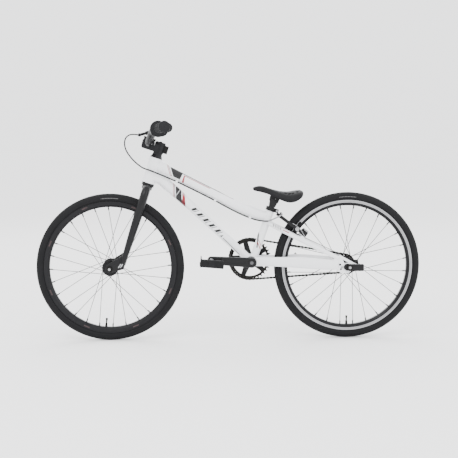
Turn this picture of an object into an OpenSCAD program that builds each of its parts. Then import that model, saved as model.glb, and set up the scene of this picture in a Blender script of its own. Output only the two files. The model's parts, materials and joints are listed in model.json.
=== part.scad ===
// Small race bike with 20 inch wheels, one gear and a rear rim brake.
// Millimetres. +X points the way the bike travels, +Y to the rider's left, +Z up.
// The origin is on the ground, half way between the wheels, in the centre plane.

/* [Wheels] */
// Outer radius of both tyres
tyre_r = 257.5; // [255:0.5:259]
// Distance between the two axles
wheelbase = 830; // [824:1:836]
// Spokes in each wheel
spoke_count = 28; // [20:4:36]

/* [Frame] */
// Outer diameter of the head tube
head_tube_d = 44; // [42:1:48]
// Outer diameter of the seat tube
seat_tube_d = 27; // [26:0.5:30]

/* [Fork] */
// Angle of the steering axis to the ground
head_angle = 72; // [71:0.5:73]

/* [Handlebar] */
// Outer diameter of the handlebar tube
bar_d = 22.2; // [22:0.1:22.4]
// Overall width of the handlebar
bar_w = 690; // [640:5:720]

/* [Drive] */
// Length of each crank arm, axis to axis
crank_len = 140; // [130:1:150]
// How far the left crank arm points above straight ahead
crank_tilt = 4; // [0:1:10]
// Teeth on the chainring
ring_teeth = 36; // [36:1:36]
// Teeth on the freewheel
cog_teeth = 16; // [16:1:16]

/* [Seat] */
// Diameter of the seat post
post_d = 22.2; // [21.5:0.1:22.4]

/* [Hidden] */
$fn = 48;
clear = 0.3;      // gap between bodies that move
run_fit = 0.05;   // radial clearance of a shaft in its hole

// ---- wheels
wx = wheelbase / 2;
wz = tyre_r;
section_r = 16.5;                  // radius of the tyre's round section
section_c = tyre_r - section_r;    // radius of the circle through its middle
rim_edge_r = section_c - 10;       // top of the rim's walls
rim_bed_r = rim_edge_r - 20;       // where the spokes enter the rim
flange_r = 28;
lacing_r = 24;                     // spoke holes on the hub flange
axle_r = 4.75;
stub_r = 4.2;                      // free ends of the axles
neck_r = 3.6;                      // relief behind each free end
front_valve_angle = -85;
rear_valve_angle = -90;

// ---- steering axis: a point at mid head tube, and its angle
head_x = 266;
head_z = 594.5;
head_len = 90;
steerer_r = 14.3;
bearing_r = 20.5;
bearing_h = 6.5;
head_r = head_tube_d / 2;
// the front axle seen along and across the steering axis
axle_t = (wx - head_x) * sin(head_angle) + (wz - head_z) * cos(head_angle);
axle_s = (wz - head_z) * sin(head_angle) - (wx - head_x) * cos(head_angle);

// ---- stem and handlebar, in steering coordinates
stem_bottom = 65;
stem_top = 99;
bar_t = 40.6;
bar_s = 86.2;
bar_r = bar_d / 2;
bar_x = head_x + bar_t * sin(head_angle) - bar_s * cos(head_angle);
bar_z = head_z + bar_t * cos(head_angle) + bar_s * sin(head_angle);
grip_start = 230;
bar_end = [bar_x - 62, bar_w / 2, bar_z + 55];
bar_rise = [bar_x - 16, 115, bar_z + 41];
bar_low = [bar_x, 48, bar_z];
bar_bend = 45;
bar_dir = unit(bar_end - bar_rise);
grip_root = bar_rise + bar_dir * ((grip_start - bar_rise.y) / bar_dir.y);

// ---- bottom bracket and drive
bbx = -75;
bbz = 276.5;
bb_r = 20;
bb_half = 36.5;
spindle_r = 9.5;
chain_y = -44;
pitch = 12.7;
ring_r = pitch / (2 * sin(180 / ring_teeth));
cog_r = pitch / (2 * sin(180 / cog_teeth));
span = norm([wx + bbx, bbz - wz]);
back_angle = 180 + atan2(bbz - wz, wx + bbx);
lean = asin((ring_r - cog_r) / span);
upper_angle = back_angle - 90 + lean;
lower_angle = upper_angle + 180 - 2 * lean;
run_links = span * cos(lean) / pitch;
cog_links = (180 - 2 * lean) * cog_teeth / 360;
link_count = 80;

// ---- seat tube: a line through the bottom bracket's height
seat_angle = 70.5;
seat_x = -83;
seat_top = 197;
seat_r = seat_tube_d / 2;
post_r = post_d / 2;
pivot = [-155.5, 0, 481];    // saddle tilt axis
head_pad_r = 16;

// ---- rear brake: stud at the seat stay, arm direction
stud = [-248, 353];
arm_angle = 37;
stud_y = 41;

// ---- tubes of the frame: x, y, z, half height, half width
top_line = [[262, 0, 616, 21, 19], [205, 0, 587.5, 20, 18], [57, 0, 512, 18, 17],
            [14, 0, 488.5, 17.5, 17], [-31, 0, 466, 19, 16.5], [-73, 0, 449, 20, 15],
            [-111, 0, 436, 18, 13], [-138, 0, 432, 16, 12]];
down_line = [[276, 0, 570, 19, 19], [240, 0, 566, 20, 19.5], [210, 0, 540, 19, 19],
             [176, 0, 510, 17.8, 18.5], [149, 0, 485, 16.5, 18],
             [37, 0, 380.8, 15, 18], [-75, 0, 276.5, 13.8, 18]];
seat_stay_line = [[-133, 8, 412, 8.5, 7.5], [-165, 23, 395, 8.5, 7.5], [-200, 32, 377.5, 8.5, 7.5],
                  [-255, 43, 349.5, 8.5, 7], [-315, 55.5, 319, 8, 6.5], [-378, 57.5, 288, 7, 6]];
chain_stay_line = [[-78, 24, 275.5, 15.5, 9], [-120, 28, 275, 16, 8.5], [-165, 33, 274.5, 16.5, 8],
                   [-248, 44, 272.5, 19.5, 8], [-324, 55, 267, 18.5, 6.5], [-376, 57.5, 264, 16, 5.5]];

// ---- brake cable housing, from the lever to the noodle
cable_r = 2.5;
cable_route = [[318.2, -166.2, 716.6], [333, -144, 719], [350, -115, 717], [362, -86, 705],
               [364, -58, 684], [356, -34, 661], [339, -12, 638], [319, 8, 619],
               [297, 23, 604], [272, 28, 595], [229, 26, 577], [182, 20, 556],
               [119, 17, 525], [49, 17, 489], [15, 17, 470], [-31, 17, 446],
               [-72, 16, 428], [-99, 16, 419.5], [-122, 20, 416.5], [-137, 25, 417]];
noodle_start = [-140, 27, 418];
noodle_turn = [-183, 62, 441];
noodle_tip = [-183, 14, 441];

// ================= helpers =================
function unit(v) = v / norm(v);
function flip(p) = [p.x, -p.y, p.z];
function xyz(p) = [p[0], p[1], p[2]];
function turned(r, a) = [r * cos(a), 0, r * sin(a)];

// a smooth curve through hand-set points of any dimension
function knot(p0, p1, p2, p3, u) =
    0.5 * (2 * p1 + (p2 - p0) * u + (2 * p0 - 5 * p1 + 4 * p2 - p3) * u * u
           + (3 * p1 - p0 - 3 * p2 + p3) * u * u * u);
function smooth(P, n) =
    let (last = len(P) - 1)
    [for (i = [0:last - 1], k = [0:n - 1])
        knot(P[max(i - 1, 0)], P[i], P[i + 1], P[min(i + 2, last)], k / n),
     P[last]];
function heading(P, i) = unit(xyz(P[min(i + 1, len(P) - 1)]) - xyz(P[max(i - 1, 0)]));
// side vectors carried along the curve without twist
function carried(P, i, s) =
    i == len(P) ? [] :
    let (t = heading(P, i), q = unit(s - (s * t) * t)) concat([q], carried(P, i + 1, q));
function ring_points(P, n, thin) =
    let (Q = carried(P, 0, [0, 1, 0.01]))
    [for (i = [0:len(P) - 1], k = [0:n - 1])
        let (w = cross(heading(P, i), Q[i]), a = 360 * k / n)
        xyz(P[i]) + (P[i][4] - thin) * cos(a) * Q[i] + (P[i][3] - thin) * sin(a) * w];

// solid swept tube with an elliptical section
module swept(P, n) {
    m = len(P);
    points = ring_points(P, n, 0);
    skin = [for (i = [0:m - 2], k = [0:n - 1])
        let (a = i * n + k, b = i * n + (k + 1) % n)
        [a, b, b + n, a + n]];
    ends = [[for (k = [0:n - 1]) n - 1 - k], [for (k = [0:n - 1]) (m - 1) * n + k]];
    polyhedron(points, concat([for (f = skin) [f[3], f[2], f[1], f[0]]],
                              [for (e = ends) [for (j = [len(e) - 1:-1:0]) e[j]]]), 4);
}

// hollow swept tube with an elliptical section, open at both ends
module swept_tube(P, n, wall) {
    m = len(P);
    inner = m * n;
    points = concat(ring_points(P, n, 0), ring_points(P, n, wall));
    skin = [for (i = [0:m - 2], k = [0:n - 1])
        let (a = i * n + k, b = i * n + (k + 1) % n)
        each [[a + n, b + n, b, a], [inner + a, inner + b, inner + b + n, inner + a + n]]];
    rims = [for (k = [0:n - 1])
        let (a = k, b = (k + 1) % n, e = (m - 1) * n)
        each [[a, b, inner + b, inner + a],
              [inner + e + a, inner + e + b, e + b, e + a]]];
    polyhedron(points, concat(skin, rims), 4);
}

// round bar from a to b, tapering from r1 to r2
module bar(a, b, r1, r2) {
    d = b - a;
    translate(a) rotate([0, acos(d.z / norm(d)), atan2(d.y, d.x)])
        cylinder(h = norm(d), r1 = r1, r2 = r2);
}
module pipe(a, b, ro, ri) {
    difference() {
        bar(a, b, ro, ro);
        if (ri > 0) bar(a - (b - a) * 0.001, b + (b - a) * 0.001, ri, ri);
    }
}
// one bend of a tube: p is the corner, d0 and d1 the ways in and out
module elbow(p, d0, d1, bend, ro, ri) {
    turn = acos(d0 * d1);
    start = p - d0 * bend * tan(turn / 2);
    inward = unit(d1 - (d1 * d0) * d0);
    x = -inward;
    z = cross(x, d0);
    o = start + inward * bend;
    multmatrix([[x.x, d0.x, z.x, o.x], [x.y, d0.y, z.y, o.y], [x.z, d0.z, z.z, o.z]])
        rotate_extrude(angle = turn) translate([bend, 0]) difference() {
            circle(ro);
            if (ri > 0) circle(ri);
        }
}
// points along one bend, from lead before it to lead after it
function bend_points(p, d0, d1, bend, lead, steps) =
    let (turn = acos(d0 * d1), cut = bend * tan(turn / 2), o = p - d0 * cut,
         inward = unit(d1 - (d1 * d0) * d0))
    [o - d0 * lead,
     for (k = [0:steps]) let (a = turn * k / steps)
         o + bend * sin(a) * d0 + bend * (1 - cos(a)) * inward,
     p + d1 * (cut + lead)];
function with_size(P, a, b) = [for (p = P) [p.x, p.y, p.z, a, b]];
// straight lengths joined by bends of one radius
module bent_tube(P, bend, ro, ri) {
    last = len(P) - 1;
    D = [for (i = [0:last - 1]) unit(P[i + 1] - P[i])];
    cut = [for (i = [0:last])
        (i == 0 || i == last) ? 0 : bend * tan(acos(D[i - 1] * D[i]) / 2)];
    for (i = [0:last - 1]) pipe(P[i] + D[i] * cut[i], P[i + 1] - D[i] * cut[i + 1], ro, ri);
    for (i = [1:last - 1]) elbow(P[i], D[i - 1], D[i], bend, ro, ri);
}
// both sides of the bike
module both_sides() {
    children();
    mirror([0, 1, 0]) children();
}
// a cylinder lying along Y from y0 to y1
module across(x, z, y0, y1, r) {
    translate([x, y1, z]) rotate([90, 0, 0]) cylinder(h = y1 - y0, r = r);
}
// a flat outline in the X-Z plane, standing between y0 and y1
module upright(y0, y1) {
    translate([0, y1, 0]) rotate([90, 0, 0]) linear_extrude(y1 - y0) children();
}
module hex_nut(x, z, y0, y1, flat) {
    translate([x, y1, z]) rotate([90, 0, 0])
        cylinder(h = y1 - y0, r = flat / 2 / cos(30), $fn = 6);
}
// local Z runs up the steering axis, local X forward
module steering() {
    translate([head_x, 0, head_z]) rotate([0, head_angle - 90, 0]) children();
}
// local Z runs up the seat tube
module along_seat() {
    translate([seat_x, 0, bbz]) rotate([0, seat_angle - 90, 0]) children();
}
// local X runs along the left crank arm
module on_crank() {
    translate([bbx, 0, bbz]) rotate([0, -crank_tilt, 0]) children();
}
// local X runs up the brake arms, local Z along the studs
module at_brake() {
    translate([stud.x, 0, stud.y]) rotate([0, -arm_angle, 0]) children();
}
// local X forward of the bar, local Y inboard along it, at the right-hand lever
module at_lever() {
    y = flip(-bar_dir);
    f = [cos(14), 0, -sin(14)];
    x = unit(f - (f * y) * y);
    z = cross(x, y);
    o = flip(bar_rise + bar_dir * 66);
    multmatrix([[x.x, y.x, z.x, o.x], [x.y, y.y, z.y, o.y], [x.z, y.z, z.z, o.z]]) children();
}
// outline of a bar with round ends of radius r1 at the origin and r2 at [d, 0]
module strap(r1, r2, d) {
    b = acos((r1 - r2) / d);
    steps = 16;
    polygon([for (k = [0:steps]) let (a = b + (360 - 2 * b) * k / steps) r1 * [cos(a), sin(a)],
             for (k = [0:steps]) let (a = -b + 2 * b * k / steps) [d, 0] + r2 * [cos(a), sin(a)]]);
}

// ================= frame =================
module head_tube() {
    color("white") steering() difference() {
        union() {
            translate([0, 0, -head_len / 2]) cylinder(h = head_len, r = head_r);
            for (s = [-head_len / 2, head_len / 2 - 12])
                translate([0, 0, s]) cylinder(h = 12, r = head_r + 1);
        }
        translate([0, 0, -head_len]) cylinder(h = 2 * head_len, r = bearing_r - 3);
        for (s = [-head_len, head_len / 2 - bearing_h])
            translate([0, 0, s]) cylinder(h = head_len / 2 + bearing_h, r = bearing_r);
    }
}
module head_block() {
    steering() translate([0, 0, -head_len / 2]) cylinder(h = head_len, r = head_r);
    steering() for (s = [-head_len / 2, head_len / 2 - 12])
        translate([0, 0, s]) cylinder(h = 12, r = head_r + 1);
}
module seat_block() {
    along_seat() cylinder(h = seat_top, r = seat_r);
}
module shell_block() {
    across(bbx, bbz, -bb_half, bb_half, bb_r);
}
module top_tube() {
    color("white") difference() {
        swept_tube(smooth(top_line, 3), 28, 1.6);
        head_block();
        seat_block();
    }
}
module down_tube() {
    color("white") difference() {
        swept_tube(smooth(down_line, 3), 28, 1.6);
        head_block();
        shell_block();
        swept(smooth(top_line, 3), 28);
    }
}
module seat_tube() {
    color("white") difference() {
        seat_block();
        along_seat() translate([0, 0, -1]) cylinder(h = seat_top + 2, r = post_r + run_fit);
        along_seat() translate([-30, -1, seat_top - 24]) cube([30, 2, 25]);
        shell_block();
    }
}
module bottom_bracket_shell() {
    color("white") difference() {
        shell_block();
        across(bbx, bbz, -bb_half - 1, bb_half + 1, 17);
    }
}
module chain_stays() {
    color("white") difference() {
        both_sides() {
            swept(smooth(chain_stay_line, 3), 20);
        }
        shell_block();
        seat_block();
        dropout_plates();
    }
    color("white") across(-133, 275, -20.5, 20.5, 7);
}
module seat_stays() {
    color("white") difference() {
        union() {
            both_sides() swept(smooth(seat_stay_line, 3), 20);
            across(-166, 396, -18, 18, 6.5);
            at_brake() both_sides() translate([0, stud_y, 4]) cylinder(h = 10, r = 7);
        }
        seat_block();
        dropout_plates();
    }
    color("silver") at_brake() both_sides() translate([0, stud_y, 13.5]) {
        cylinder(h = 20, r = 4);
        translate([0, 0, 19.8]) cylinder(h = 3.5, r = 6.2);
    }
}
module dropout_plates() {
    both_sides() upright(55, 60) difference() {
        polygon([[-360, 284], [-368, 294], [-384, 299], [-436, 270], [-447, 266],
                 [-447, 249], [-428, 246], [-412, 236], [-388, 235.5], [-372, 246],
                 [-360, 251]]);
        translate([-408, wz]) circle(5);
        translate([-470, wz - 5]) square([62, 10]);
        polygon([[-392, 284], [-412, 273], [-398, 270.5]]);
        translate([-383, 266]) circle(4);
        translate([-386, 250]) circle(3.5);
    }
}
module rear_dropouts() {
    color("white") dropout_plates();
}
module headset_bearings() {
    color("silver") steering()
        for (s = [-head_len / 2, head_len / 2 - bearing_h]) translate([0, 0, s]) difference() {
            cylinder(h = bearing_h, r = bearing_r);
            translate([0, 0, -1]) cylinder(h = bearing_h + 2, r = steerer_r + run_fit);
        }
}
module bottom_bracket_bearings() {
    color("silver") both_sides() difference() {
        union() {
            across(bbx, bbz, 24, bb_half, 17);
            across(bbx, bbz, bb_half, bb_half + 2.5, 19);
        }
        across(bbx, bbz, 20, bb_half + 4, spindle_r + run_fit);
    }
}
module seat_clamp() {
    color("black") along_seat() translate([0, 0, seat_top - 12]) difference() {
        union() {
            cylinder(h = 13.5, r = seat_r + 4.5);
            translate([-seat_r - 14, -8, 0]) cube([16, 16, 13.5]);
        }
        translate([0, 0, -1]) cylinder(h = 13, r = seat_r);
        translate([0, 0, 11]) cylinder(h = 4, r = seat_r - 1.5);
        translate([-seat_r - 20, -1.2, -1]) cube([26, 2.4, 16]);
        translate([-seat_r - 8, 12, 6.5]) rotate([90, 0, 0]) cylinder(h = 24, r = 2.6);
    }
    color("silver") along_seat() translate([-seat_r - 8, 0, seat_top - 5.5]) rotate([90, 0, 0]) {
        translate([0, 0, -10.5]) cylinder(h = 21, r = 2.5);
        translate([0, 0, 8]) cylinder(h = 4, r = 4.2);
        translate([0, 0, -11]) cylinder(h = 3, r = 4.2);
    }
}
module chain_tensioners() {
    color("black") both_sides() {
        difference() {
            upright(60.2, 66.2) {
                translate([-466, 243.5]) square([58, 24.5]);
                translate([-408, wz]) circle(12.25);
            }
            across(-wx, wz, 58, 70, axle_r + 0.25);
        }
        translate([-466, 54.9, 247]) cube([4, 5.3, 17]);
    }
    color("silver") both_sides() {
        bar([-396, 63.4, wz], [-388, 63.4, wz], 2.5, 2.5);
        bar([-388, 63.4, wz], [-385, 63.4, wz], 3, 3);
    }
}
module rear_axle() {
    color("silver") {
        across(-wx, wz, -75.4, 75.4, axle_r);
        across(-wx, wz, -82, 82, neck_r);
        both_sides() across(-wx, wz, 76, 83.4, stub_r);
        across(-wx, wz, 44.4, 54.8, 8);
        across(-wx, wz, -54.8, -51.4, 8);
    }
}
module rear_axle_nuts() {
    color("black") both_sides() difference() {
        union() {
            across(-wx, wz, 66.4, 68, 10.5);
            hex_nut(-wx, wz, 68, 75, 15);
        }
        across(-wx, wz, 60, 80, axle_r);
    }
}
module cable_guides() {
    color("white") for (i = [11, 13, 16]) {
        p = cable_route[i];
        d = unit(cable_route[i + 1] - cable_route[i - 1]);
        difference() {
            union() {
                bar(p - 4 * d, p + 4 * d, 4.2, 4.2);
                bar(p, p + [-3, -9, 4], 3, 3);
            }
            bar(p - 12 * d, p + 12 * d, cable_r + 0.1, cable_r + 0.1);
        }
    }
}

// ================= fork and handlebar =================
module crown_block() {
    translate([0, 0, -56]) cylinder(h = 56 - head_len / 2 - clear, r = head_r - 0.5);
    translate([0, 0, -68]) cylinder(h = 13, r = 18);
}
module fork_steerer() {
    color("black") steering() difference() {
        union() {
            crown_block();
            translate([0, 0, -50]) cylinder(h = stem_top + 48, r = steerer_r);
        }
        translate([0, 0, -69]) cylinder(h = 200, r = steerer_r - 2.5);
    }
}
leg_top = [0, 46, -70];
leg_foot = [0, 57, axle_s + 20];
leg_dir = unit(leg_foot - leg_top);
leg_line = concat(
    with_size(bend_points(leg_top, unit([0, 38, -8]), leg_dir, 26, 12, 5), 14, 14),
    [for (q = [[0.35, 14], [0.7, 11.5], [1, 8]])
        let (p = leg_top + (leg_foot - leg_top) * q[0]) [p.x, p.y, p.z, q[1], q[1]]]);
module fork_leg() {
    steering() difference() {
        union() {
            swept(leg_line, 28);
            upright(50.3, 55.3) {
                polygon([[-9, axle_s + 50], [8, axle_s + 60], [axle_t + 12, axle_s + 6],
                         [axle_t + 10, axle_s - 6], [axle_t - 8, axle_s - 10],
                         [-9, axle_s + 14]]);
                translate([axle_t, axle_s]) circle(13);
            }
        }
        crown_block();
        translate([0, 0, -60]) cylinder(h = 20, r = head_r - 0.5);
        across(axle_t, axle_s, 40, 70, axle_r + 0.05);
        translate([axle_t, 0, axle_s]) rotate([0, 90 - head_angle, 0])
            translate([-axle_r, 45, -30]) cube([2 * axle_r, 15, 30]);
    }
}
module fork_leg_left() {
    color("black") fork_leg();
}
module fork_leg_right() {
    color("black") mirror([0, 1, 0]) fork_leg();
}
module front_axle() {
    color("silver") {
        across(wx, wz, -64, 64, axle_r);
        across(wx, wz, -70, 70, neck_r);
        both_sides() across(wx, wz, 64.6, 72, stub_r);
        both_sides() across(wx, wz, 40.4, 50.1, 8);
    }
}
module front_axle_nuts() {
    color("black") both_sides() difference() {
        union() {
            across(wx, wz, 55.4, 57, 10);
            hex_nut(wx, wz, 57, 63.5, 15);
        }
        across(wx, wz, 50, 80, axle_r);
    }
}
module headset_covers() {
    color("black") steering() {
        difference() {
            union() {
                translate([0, 0, head_len / 2 + clear])
                    cylinder(h = 14, r1 = head_r - 0.5, r2 = 15.5);
                translate([0, 0, 55]) cylinder(h = stem_bottom - 55, r = 16.5);
            }
            cylinder(h = 100, r = steerer_r);
        }
        translate([0, 0, stem_top]) cylinder(h = 3.5, r = 17);
        translate([0, 0, stem_top + 3]) cylinder(h = 2.5, r = 4.5);
    }
}
module stem() {
    color("black") steering() difference() {
        union() {
            translate([0, 0, stem_bottom]) cylinder(h = stem_top - stem_bottom, r = 19);
            translate([-31, -10, stem_bottom + 3]) cube([20, 20, 27]);
            upright(-24, 24)
                polygon([[0, stem_bottom], [56, stem_bottom], [61, 69], [62.5, bar_s - 0.6],
                         [20, bar_s - 0.6], [16, 92], [0, 92]]);
        }
        translate([0, 0, 50]) cylinder(h = 60, r = steerer_r);
        across(bar_t, bar_s, -30, 30, bar_r);
        translate([-40, -1.2, 50]) cube([28, 2.4, 60]);
        for (y = [-16, 16], t = [-16.8, 16.8])
            translate([bar_t + t, y, stem_bottom + 4]) cylinder(h = 60, r = 3);
        for (s = [75, 88]) across(-23, s, -20, 20, 3);
    }
}
module stem_plate() {
    color("black") steering() difference() {
        upright(-24, 24)
            polygon([[20, bar_s + 1], [62.5, bar_s + 1], [62.5, 93], [55, 100.5],
                     [28, 100.5], [20, 94]]);
        across(bar_t, bar_s, -30, 30, bar_r);
        for (y = [-16, 16], t = [-16.8, 16.8])
            translate([bar_t + t, y, 60]) cylinder(h = 60, r = 3);
    }
}
module stem_bolts() {
    color("silver") steering() {
        for (y = [-16, 16], t = [-16.8, 16.8]) translate([bar_t + t, y, 0]) {
            translate([0, 0, stem_bottom + 4.5]) cylinder(h = 36.5, r = 2.9);
            difference() {
                translate([0, 0, 100.6]) cylinder(h = 5, r = 4.6);
                translate([0, 0, 102]) cylinder(h = 4, r = 2.5, $fn = 6);
            }
        }
        for (s = [75, 88]) {
            across(-23, s, -13, 13, 2.9);
            across(-23, s, 10.1, 14, 4.6);
            across(-23, s, -13, -10.1, 4.6);
        }
    }
}
module handlebar() {
    low_dir = unit(bar_rise - bar_low);
    low_cut = bar_bend * tan(acos([0, 1, 0] * low_dir) / 2) - 2;
    rise_cut = bar_bend * tan(acos(low_dir * bar_dir) / 2) - 2;
    wall = 1.4;
    color("black") {
        pipe(flip(bar_low) + [0, low_cut, 0], bar_low - [0, low_cut, 0], bar_r, bar_r - wall);
        both_sides() {
            pipe(bar_low + low_dir * low_cut, bar_rise - low_dir * rise_cut, bar_r, bar_r - wall);
            pipe(bar_rise + bar_dir * rise_cut, bar_end, bar_r, bar_r - wall);
            elbow(bar_low, [0, 1, 0], low_dir, bar_bend, bar_r - 0.3, bar_r - wall - 0.6);
            elbow(bar_rise, low_dir, bar_dir, bar_bend, bar_r - 0.3, bar_r - wall - 0.6);
        }
    }
}
module grip() {
    hold = norm(bar_end - grip_root) + 1.8;
    translate(grip_root) rotate([0, acos(bar_dir.z), atan2(bar_dir.y, bar_dir.x)])
        difference() {
            union() {
                cylinder(h = 4, r = 27);
                translate([0, 0, 4]) cylinder(h = 3, r1 = 23, r2 = 17);
                cylinder(h = hold - 1, r = 15);
                for (k = [0:11]) translate([0, 0, 10 + k * 8.2]) cylinder(h = 5.2, r = 16.3);
                translate([0, 0, hold - 9]) cylinder(h = 9, r = 18.5);
            }
            translate([0, 0, -1]) cylinder(h = hold - 0.6, r = bar_r + run_fit);
        }
}
module grip_left() {
    color("dimgray") grip();
}
module grip_right() {
    color("dimgray") mirror([0, 1, 0]) grip();
}
module brake_lever_bracket() {
    color("black") at_lever() difference() {
        union() {
            translate([0, 9, 0]) rotate([90, 0, 0]) cylinder(h = 18, r = 15.5);
            translate([8, -7, -7]) cube([38, 14, 14]);
            translate([38, -7, 0]) cylinder(h = 7, r = 9);
            translate([38, -7, -7]) cylinder(h = 2.6, r = 9);
            translate([38, -7, -5]) cube([36, 14, 10]);
            translate([67, 26, 0]) rotate([90, 0, 0]) cylinder(h = 22, r = 4.6);
            translate([67, 21, 0]) rotate([90, 0, 0]) cylinder(h = 8, r = 6.2);
        }
        translate([0, 20, 0]) rotate([90, 0, 0]) cylinder(h = 40, r = bar_r);
        translate([38, -12, -4.4]) cylinder(h = 8.8, r = 14);
        translate([67, 27, 0]) rotate([90, 0, 0]) cylinder(h = 40, r = cable_r + 0.1);
    }
    color("silver") at_lever() translate([38, -12, -7]) cylinder(h = 14, r = 2.5);
}
module brake_lever() {
    color("black") at_lever() difference() {
        union() {
            translate([38, -12, -4]) cylinder(h = 8, r = 8);
            translate([0, 0, -4]) linear_extrude(8)
                polygon([[34, -14], [46, -12], [57, -26], [58, -50], [55, -80], [52, -101],
                         [45, -101], [48, -78], [50, -50], [48, -30]]);
            translate([48.5, -101, -4]) cylinder(h = 8, r = 5.5);
        }
        translate([38, -12, -10]) cylinder(h = 20, r = 2.5 + run_fit);
    }
}

// ================= wheels =================
// spins about the axle: the outline is given as radius and place along the axle
module wheel(x) {
    translate([x, 0, wz]) rotate([90, 0, 0]) children();
}
module tyre(x) {
    wheel(x) rotate_extrude($fn = 96) {
        translate([section_c, 0]) difference() {
            circle(section_r);
            circle(section_r - 2.3);
            translate([-30, -20]) square([30 - 8.7, 40]);
        }
        for (m = [0, 1]) mirror([0, m]) translate([rim_edge_r, 0])
            polygon([[-5, 10], [-5, 8.5], [0.6, 8.5], [2.5, 11.2], [1.4, 13.8], [0.4, 12.4],
                     [0.4, 10]]);
    }
}
module inner_tube(x, angle) {
    wheel(x) {
        rotate_extrude() translate([section_c, 0]) difference() {
            circle(12.4);
            circle(11.4);
        }
        rotate([0, 0, angle]) translate([section_c - 12, 0, 0]) rotate([0, -90, 0]) {
            cylinder(h = 30, r = 3.9);
            cylinder(h = 46, r = 2.6);
        }
    }
}
module rim(x, angle) {
    wheel(x) difference() {
        rotate_extrude($fn = 96) difference() {
            translate([rim_edge_r, 0])
                polygon([[0, 12], [-13, 12], [-20, 6], [-20, -6], [-13, -12], [0, -12],
                         [0, -10.2], [-5.5, -10.2], [-8.5, -5.5], [-8.5, 5.5], [-5.5, 10.2],
                         [0, 10.2]]);
            translate([rim_edge_r, 0])
                polygon([[-10.5, 5], [-12.5, 10.2], [-18.3, 5.2], [-18.3, -5.2],
                         [-12.5, -10.2], [-10.5, -5]]);
        }
        rotate([0, 0, angle]) translate([rim_edge_r, 0, 0]) rotate([0, -90, 0])
            cylinder(h = 30, r = 4.1);
    }
}
module spokes(x, angle, flange_y) {
    step = 360 / spoke_count;
    for (k = [0:spoke_count - 1]) {
        side = (k % 2 == 0) ? 1 : -1;
        lead = (floor(k / 2) % 2 == 0) ? 1 : -1;
        a = angle + step * (k + 0.5);
        hub_end = turned(lacing_r, a + lead * 72) + [x, side * (flange_y + lead * 2.4), wz];
        rim_end = turned(rim_bed_r, a) + [x, side * 3, wz];
        d = unit(rim_end - hub_end);
        bar(hub_end - d * 2, rim_end - d * 8, 1, 1);
        bar(rim_end - d * 12, rim_end + d * 1, 1.9, 1.9);
    }
}
module hub(x, flange_y, end_left, end_right) {
    difference() {
        union() {
            across(x, wz, -end_right, end_left, 17);
            for (y = [-flange_y, flange_y]) {
                across(x, wz, y - 1.4, y + 1.4, flange_r);
                across(x, wz, y - 4, y + 4, 20);
            }
        }
        across(x, wz, -end_right - 1, end_left + 1, 7);
        across(x, wz, end_left - 8, end_left + 1, 13);
        across(x, wz, -end_right - 1, -end_right + 8, 13);
    }
}
module hub_bearings(x, end_left, end_right) {
    for (y = [end_left - 8, -end_right]) difference() {
        across(x, wz, y, y + 8, 13);
        across(x, wz, y - 1, y + 9, axle_r + run_fit);
    }
}
module front_tyre() { color("#222222") tyre(wx); }
module front_inner_tube() { color("black") inner_tube(wx, front_valve_angle); }
module front_rim() { color("black") rim(wx, front_valve_angle); }
module front_spokes() { color("black") spokes(wx, front_valve_angle, 27); }
module front_hub() { color("black") hub(wx, 27, 40, 40); }
module front_hub_bearings() { color("silver") hub_bearings(wx, 40, 40); }
module rear_tyre() { color("#222222") tyre(-wx); }
module rear_inner_tube() { color("black") inner_tube(-wx, rear_valve_angle); }
module rear_rim() { color("silver") rim(-wx, rear_valve_angle); }
module rear_spokes() { color("black") spokes(-wx, rear_valve_angle, 27); }
module rear_hub() { color("black") hub(-wx, 27, 44, 51); }
module rear_hub_bearings() { color("silver") hub_bearings(-wx, 44, 51); }

// ================= drive =================
// outline of a sprocket: seats for the rollers, one centred at angle phase
function sprocket(n, r, phase) =
    [for (k = [0:n - 1])
        let (a = phase + k * 360 / n, c = [cos(a), sin(a)], t = [-sin(a), cos(a)])
        each concat(
            [(r + 3.2) * c - 5.9 * t],
            [for (b = [180:30:360]) (r + 4.2 * sin(b)) * c + 4.2 * cos(b) * t],
            [(r + 3.2) * c + 5.9 * t])];
module freewheel() {
    color("dimgray") difference() {
        translate([-wx, 0, wz]) union() {
            upright(chain_y - 1.4, chain_y + 1.4)
                polygon(sprocket(cog_teeth, cog_r, upper_angle - run_links * 360 / cog_teeth));
            upright(chain_y - 6, chain_y + 7) circle(25);
        }
        across(-wx, wz, -60, -30, 17 + run_fit);
    }
}
// place and heading of the chain's roller number s, counted from the top of the chainring
function roller(s) =
    s < run_links ? turned(ring_r, upper_angle) + [bbx, 0, bbz]
        + (s * pitch) * turned(1, upper_angle + 90) :
    s < run_links + cog_links ? [-wx, 0, wz]
        + turned(cog_r, upper_angle + (s - run_links) * 360 / cog_teeth) :
    s < 2 * run_links + cog_links ? [-wx, 0, wz] + turned(cog_r, lower_angle)
        + ((s - run_links - cog_links) * pitch) * turned(1, lower_angle + 90) :
    [bbx, 0, bbz]
        + turned(ring_r, lower_angle + (s - 2 * run_links - cog_links) * 360 / ring_teeth);
plate = [[-1, 0], [0, 3.4], [2, 4.1], [4.6, 2.6], [8.1, 2.6], [10.7, 4.1], [12.7, 3.4],
         [13.7, 0], [12.7, -3.4], [10.7, -4.1], [8.1, -2.6], [4.6, -2.6], [2, -4.1], [0, -3.4]];
module chain() {
    color("#333333") for (k = [0:link_count - 1]) {
        p = roller(k);
        d = roller(k + 1 < link_count ? k + 1 : 0) - p;
        off = (k % 2 == 0) ? 1.7 : 2.75;
        translate([p.x, chain_y, p.z]) {
            rotate([90, 0, 0]) cylinder(h = 3.3, r = 3.85, center = true);
            rotate([0, -atan2(d.z, d.x), 0]) both_sides()
                upright(off, off + 1) translate([0.5, 0]) scale(0.93) polygon(plate);
        }
    }
}
module crank_spindle() {
    color("silver") across(bbx, bbz, -72, 72, spindle_r);
}
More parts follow.
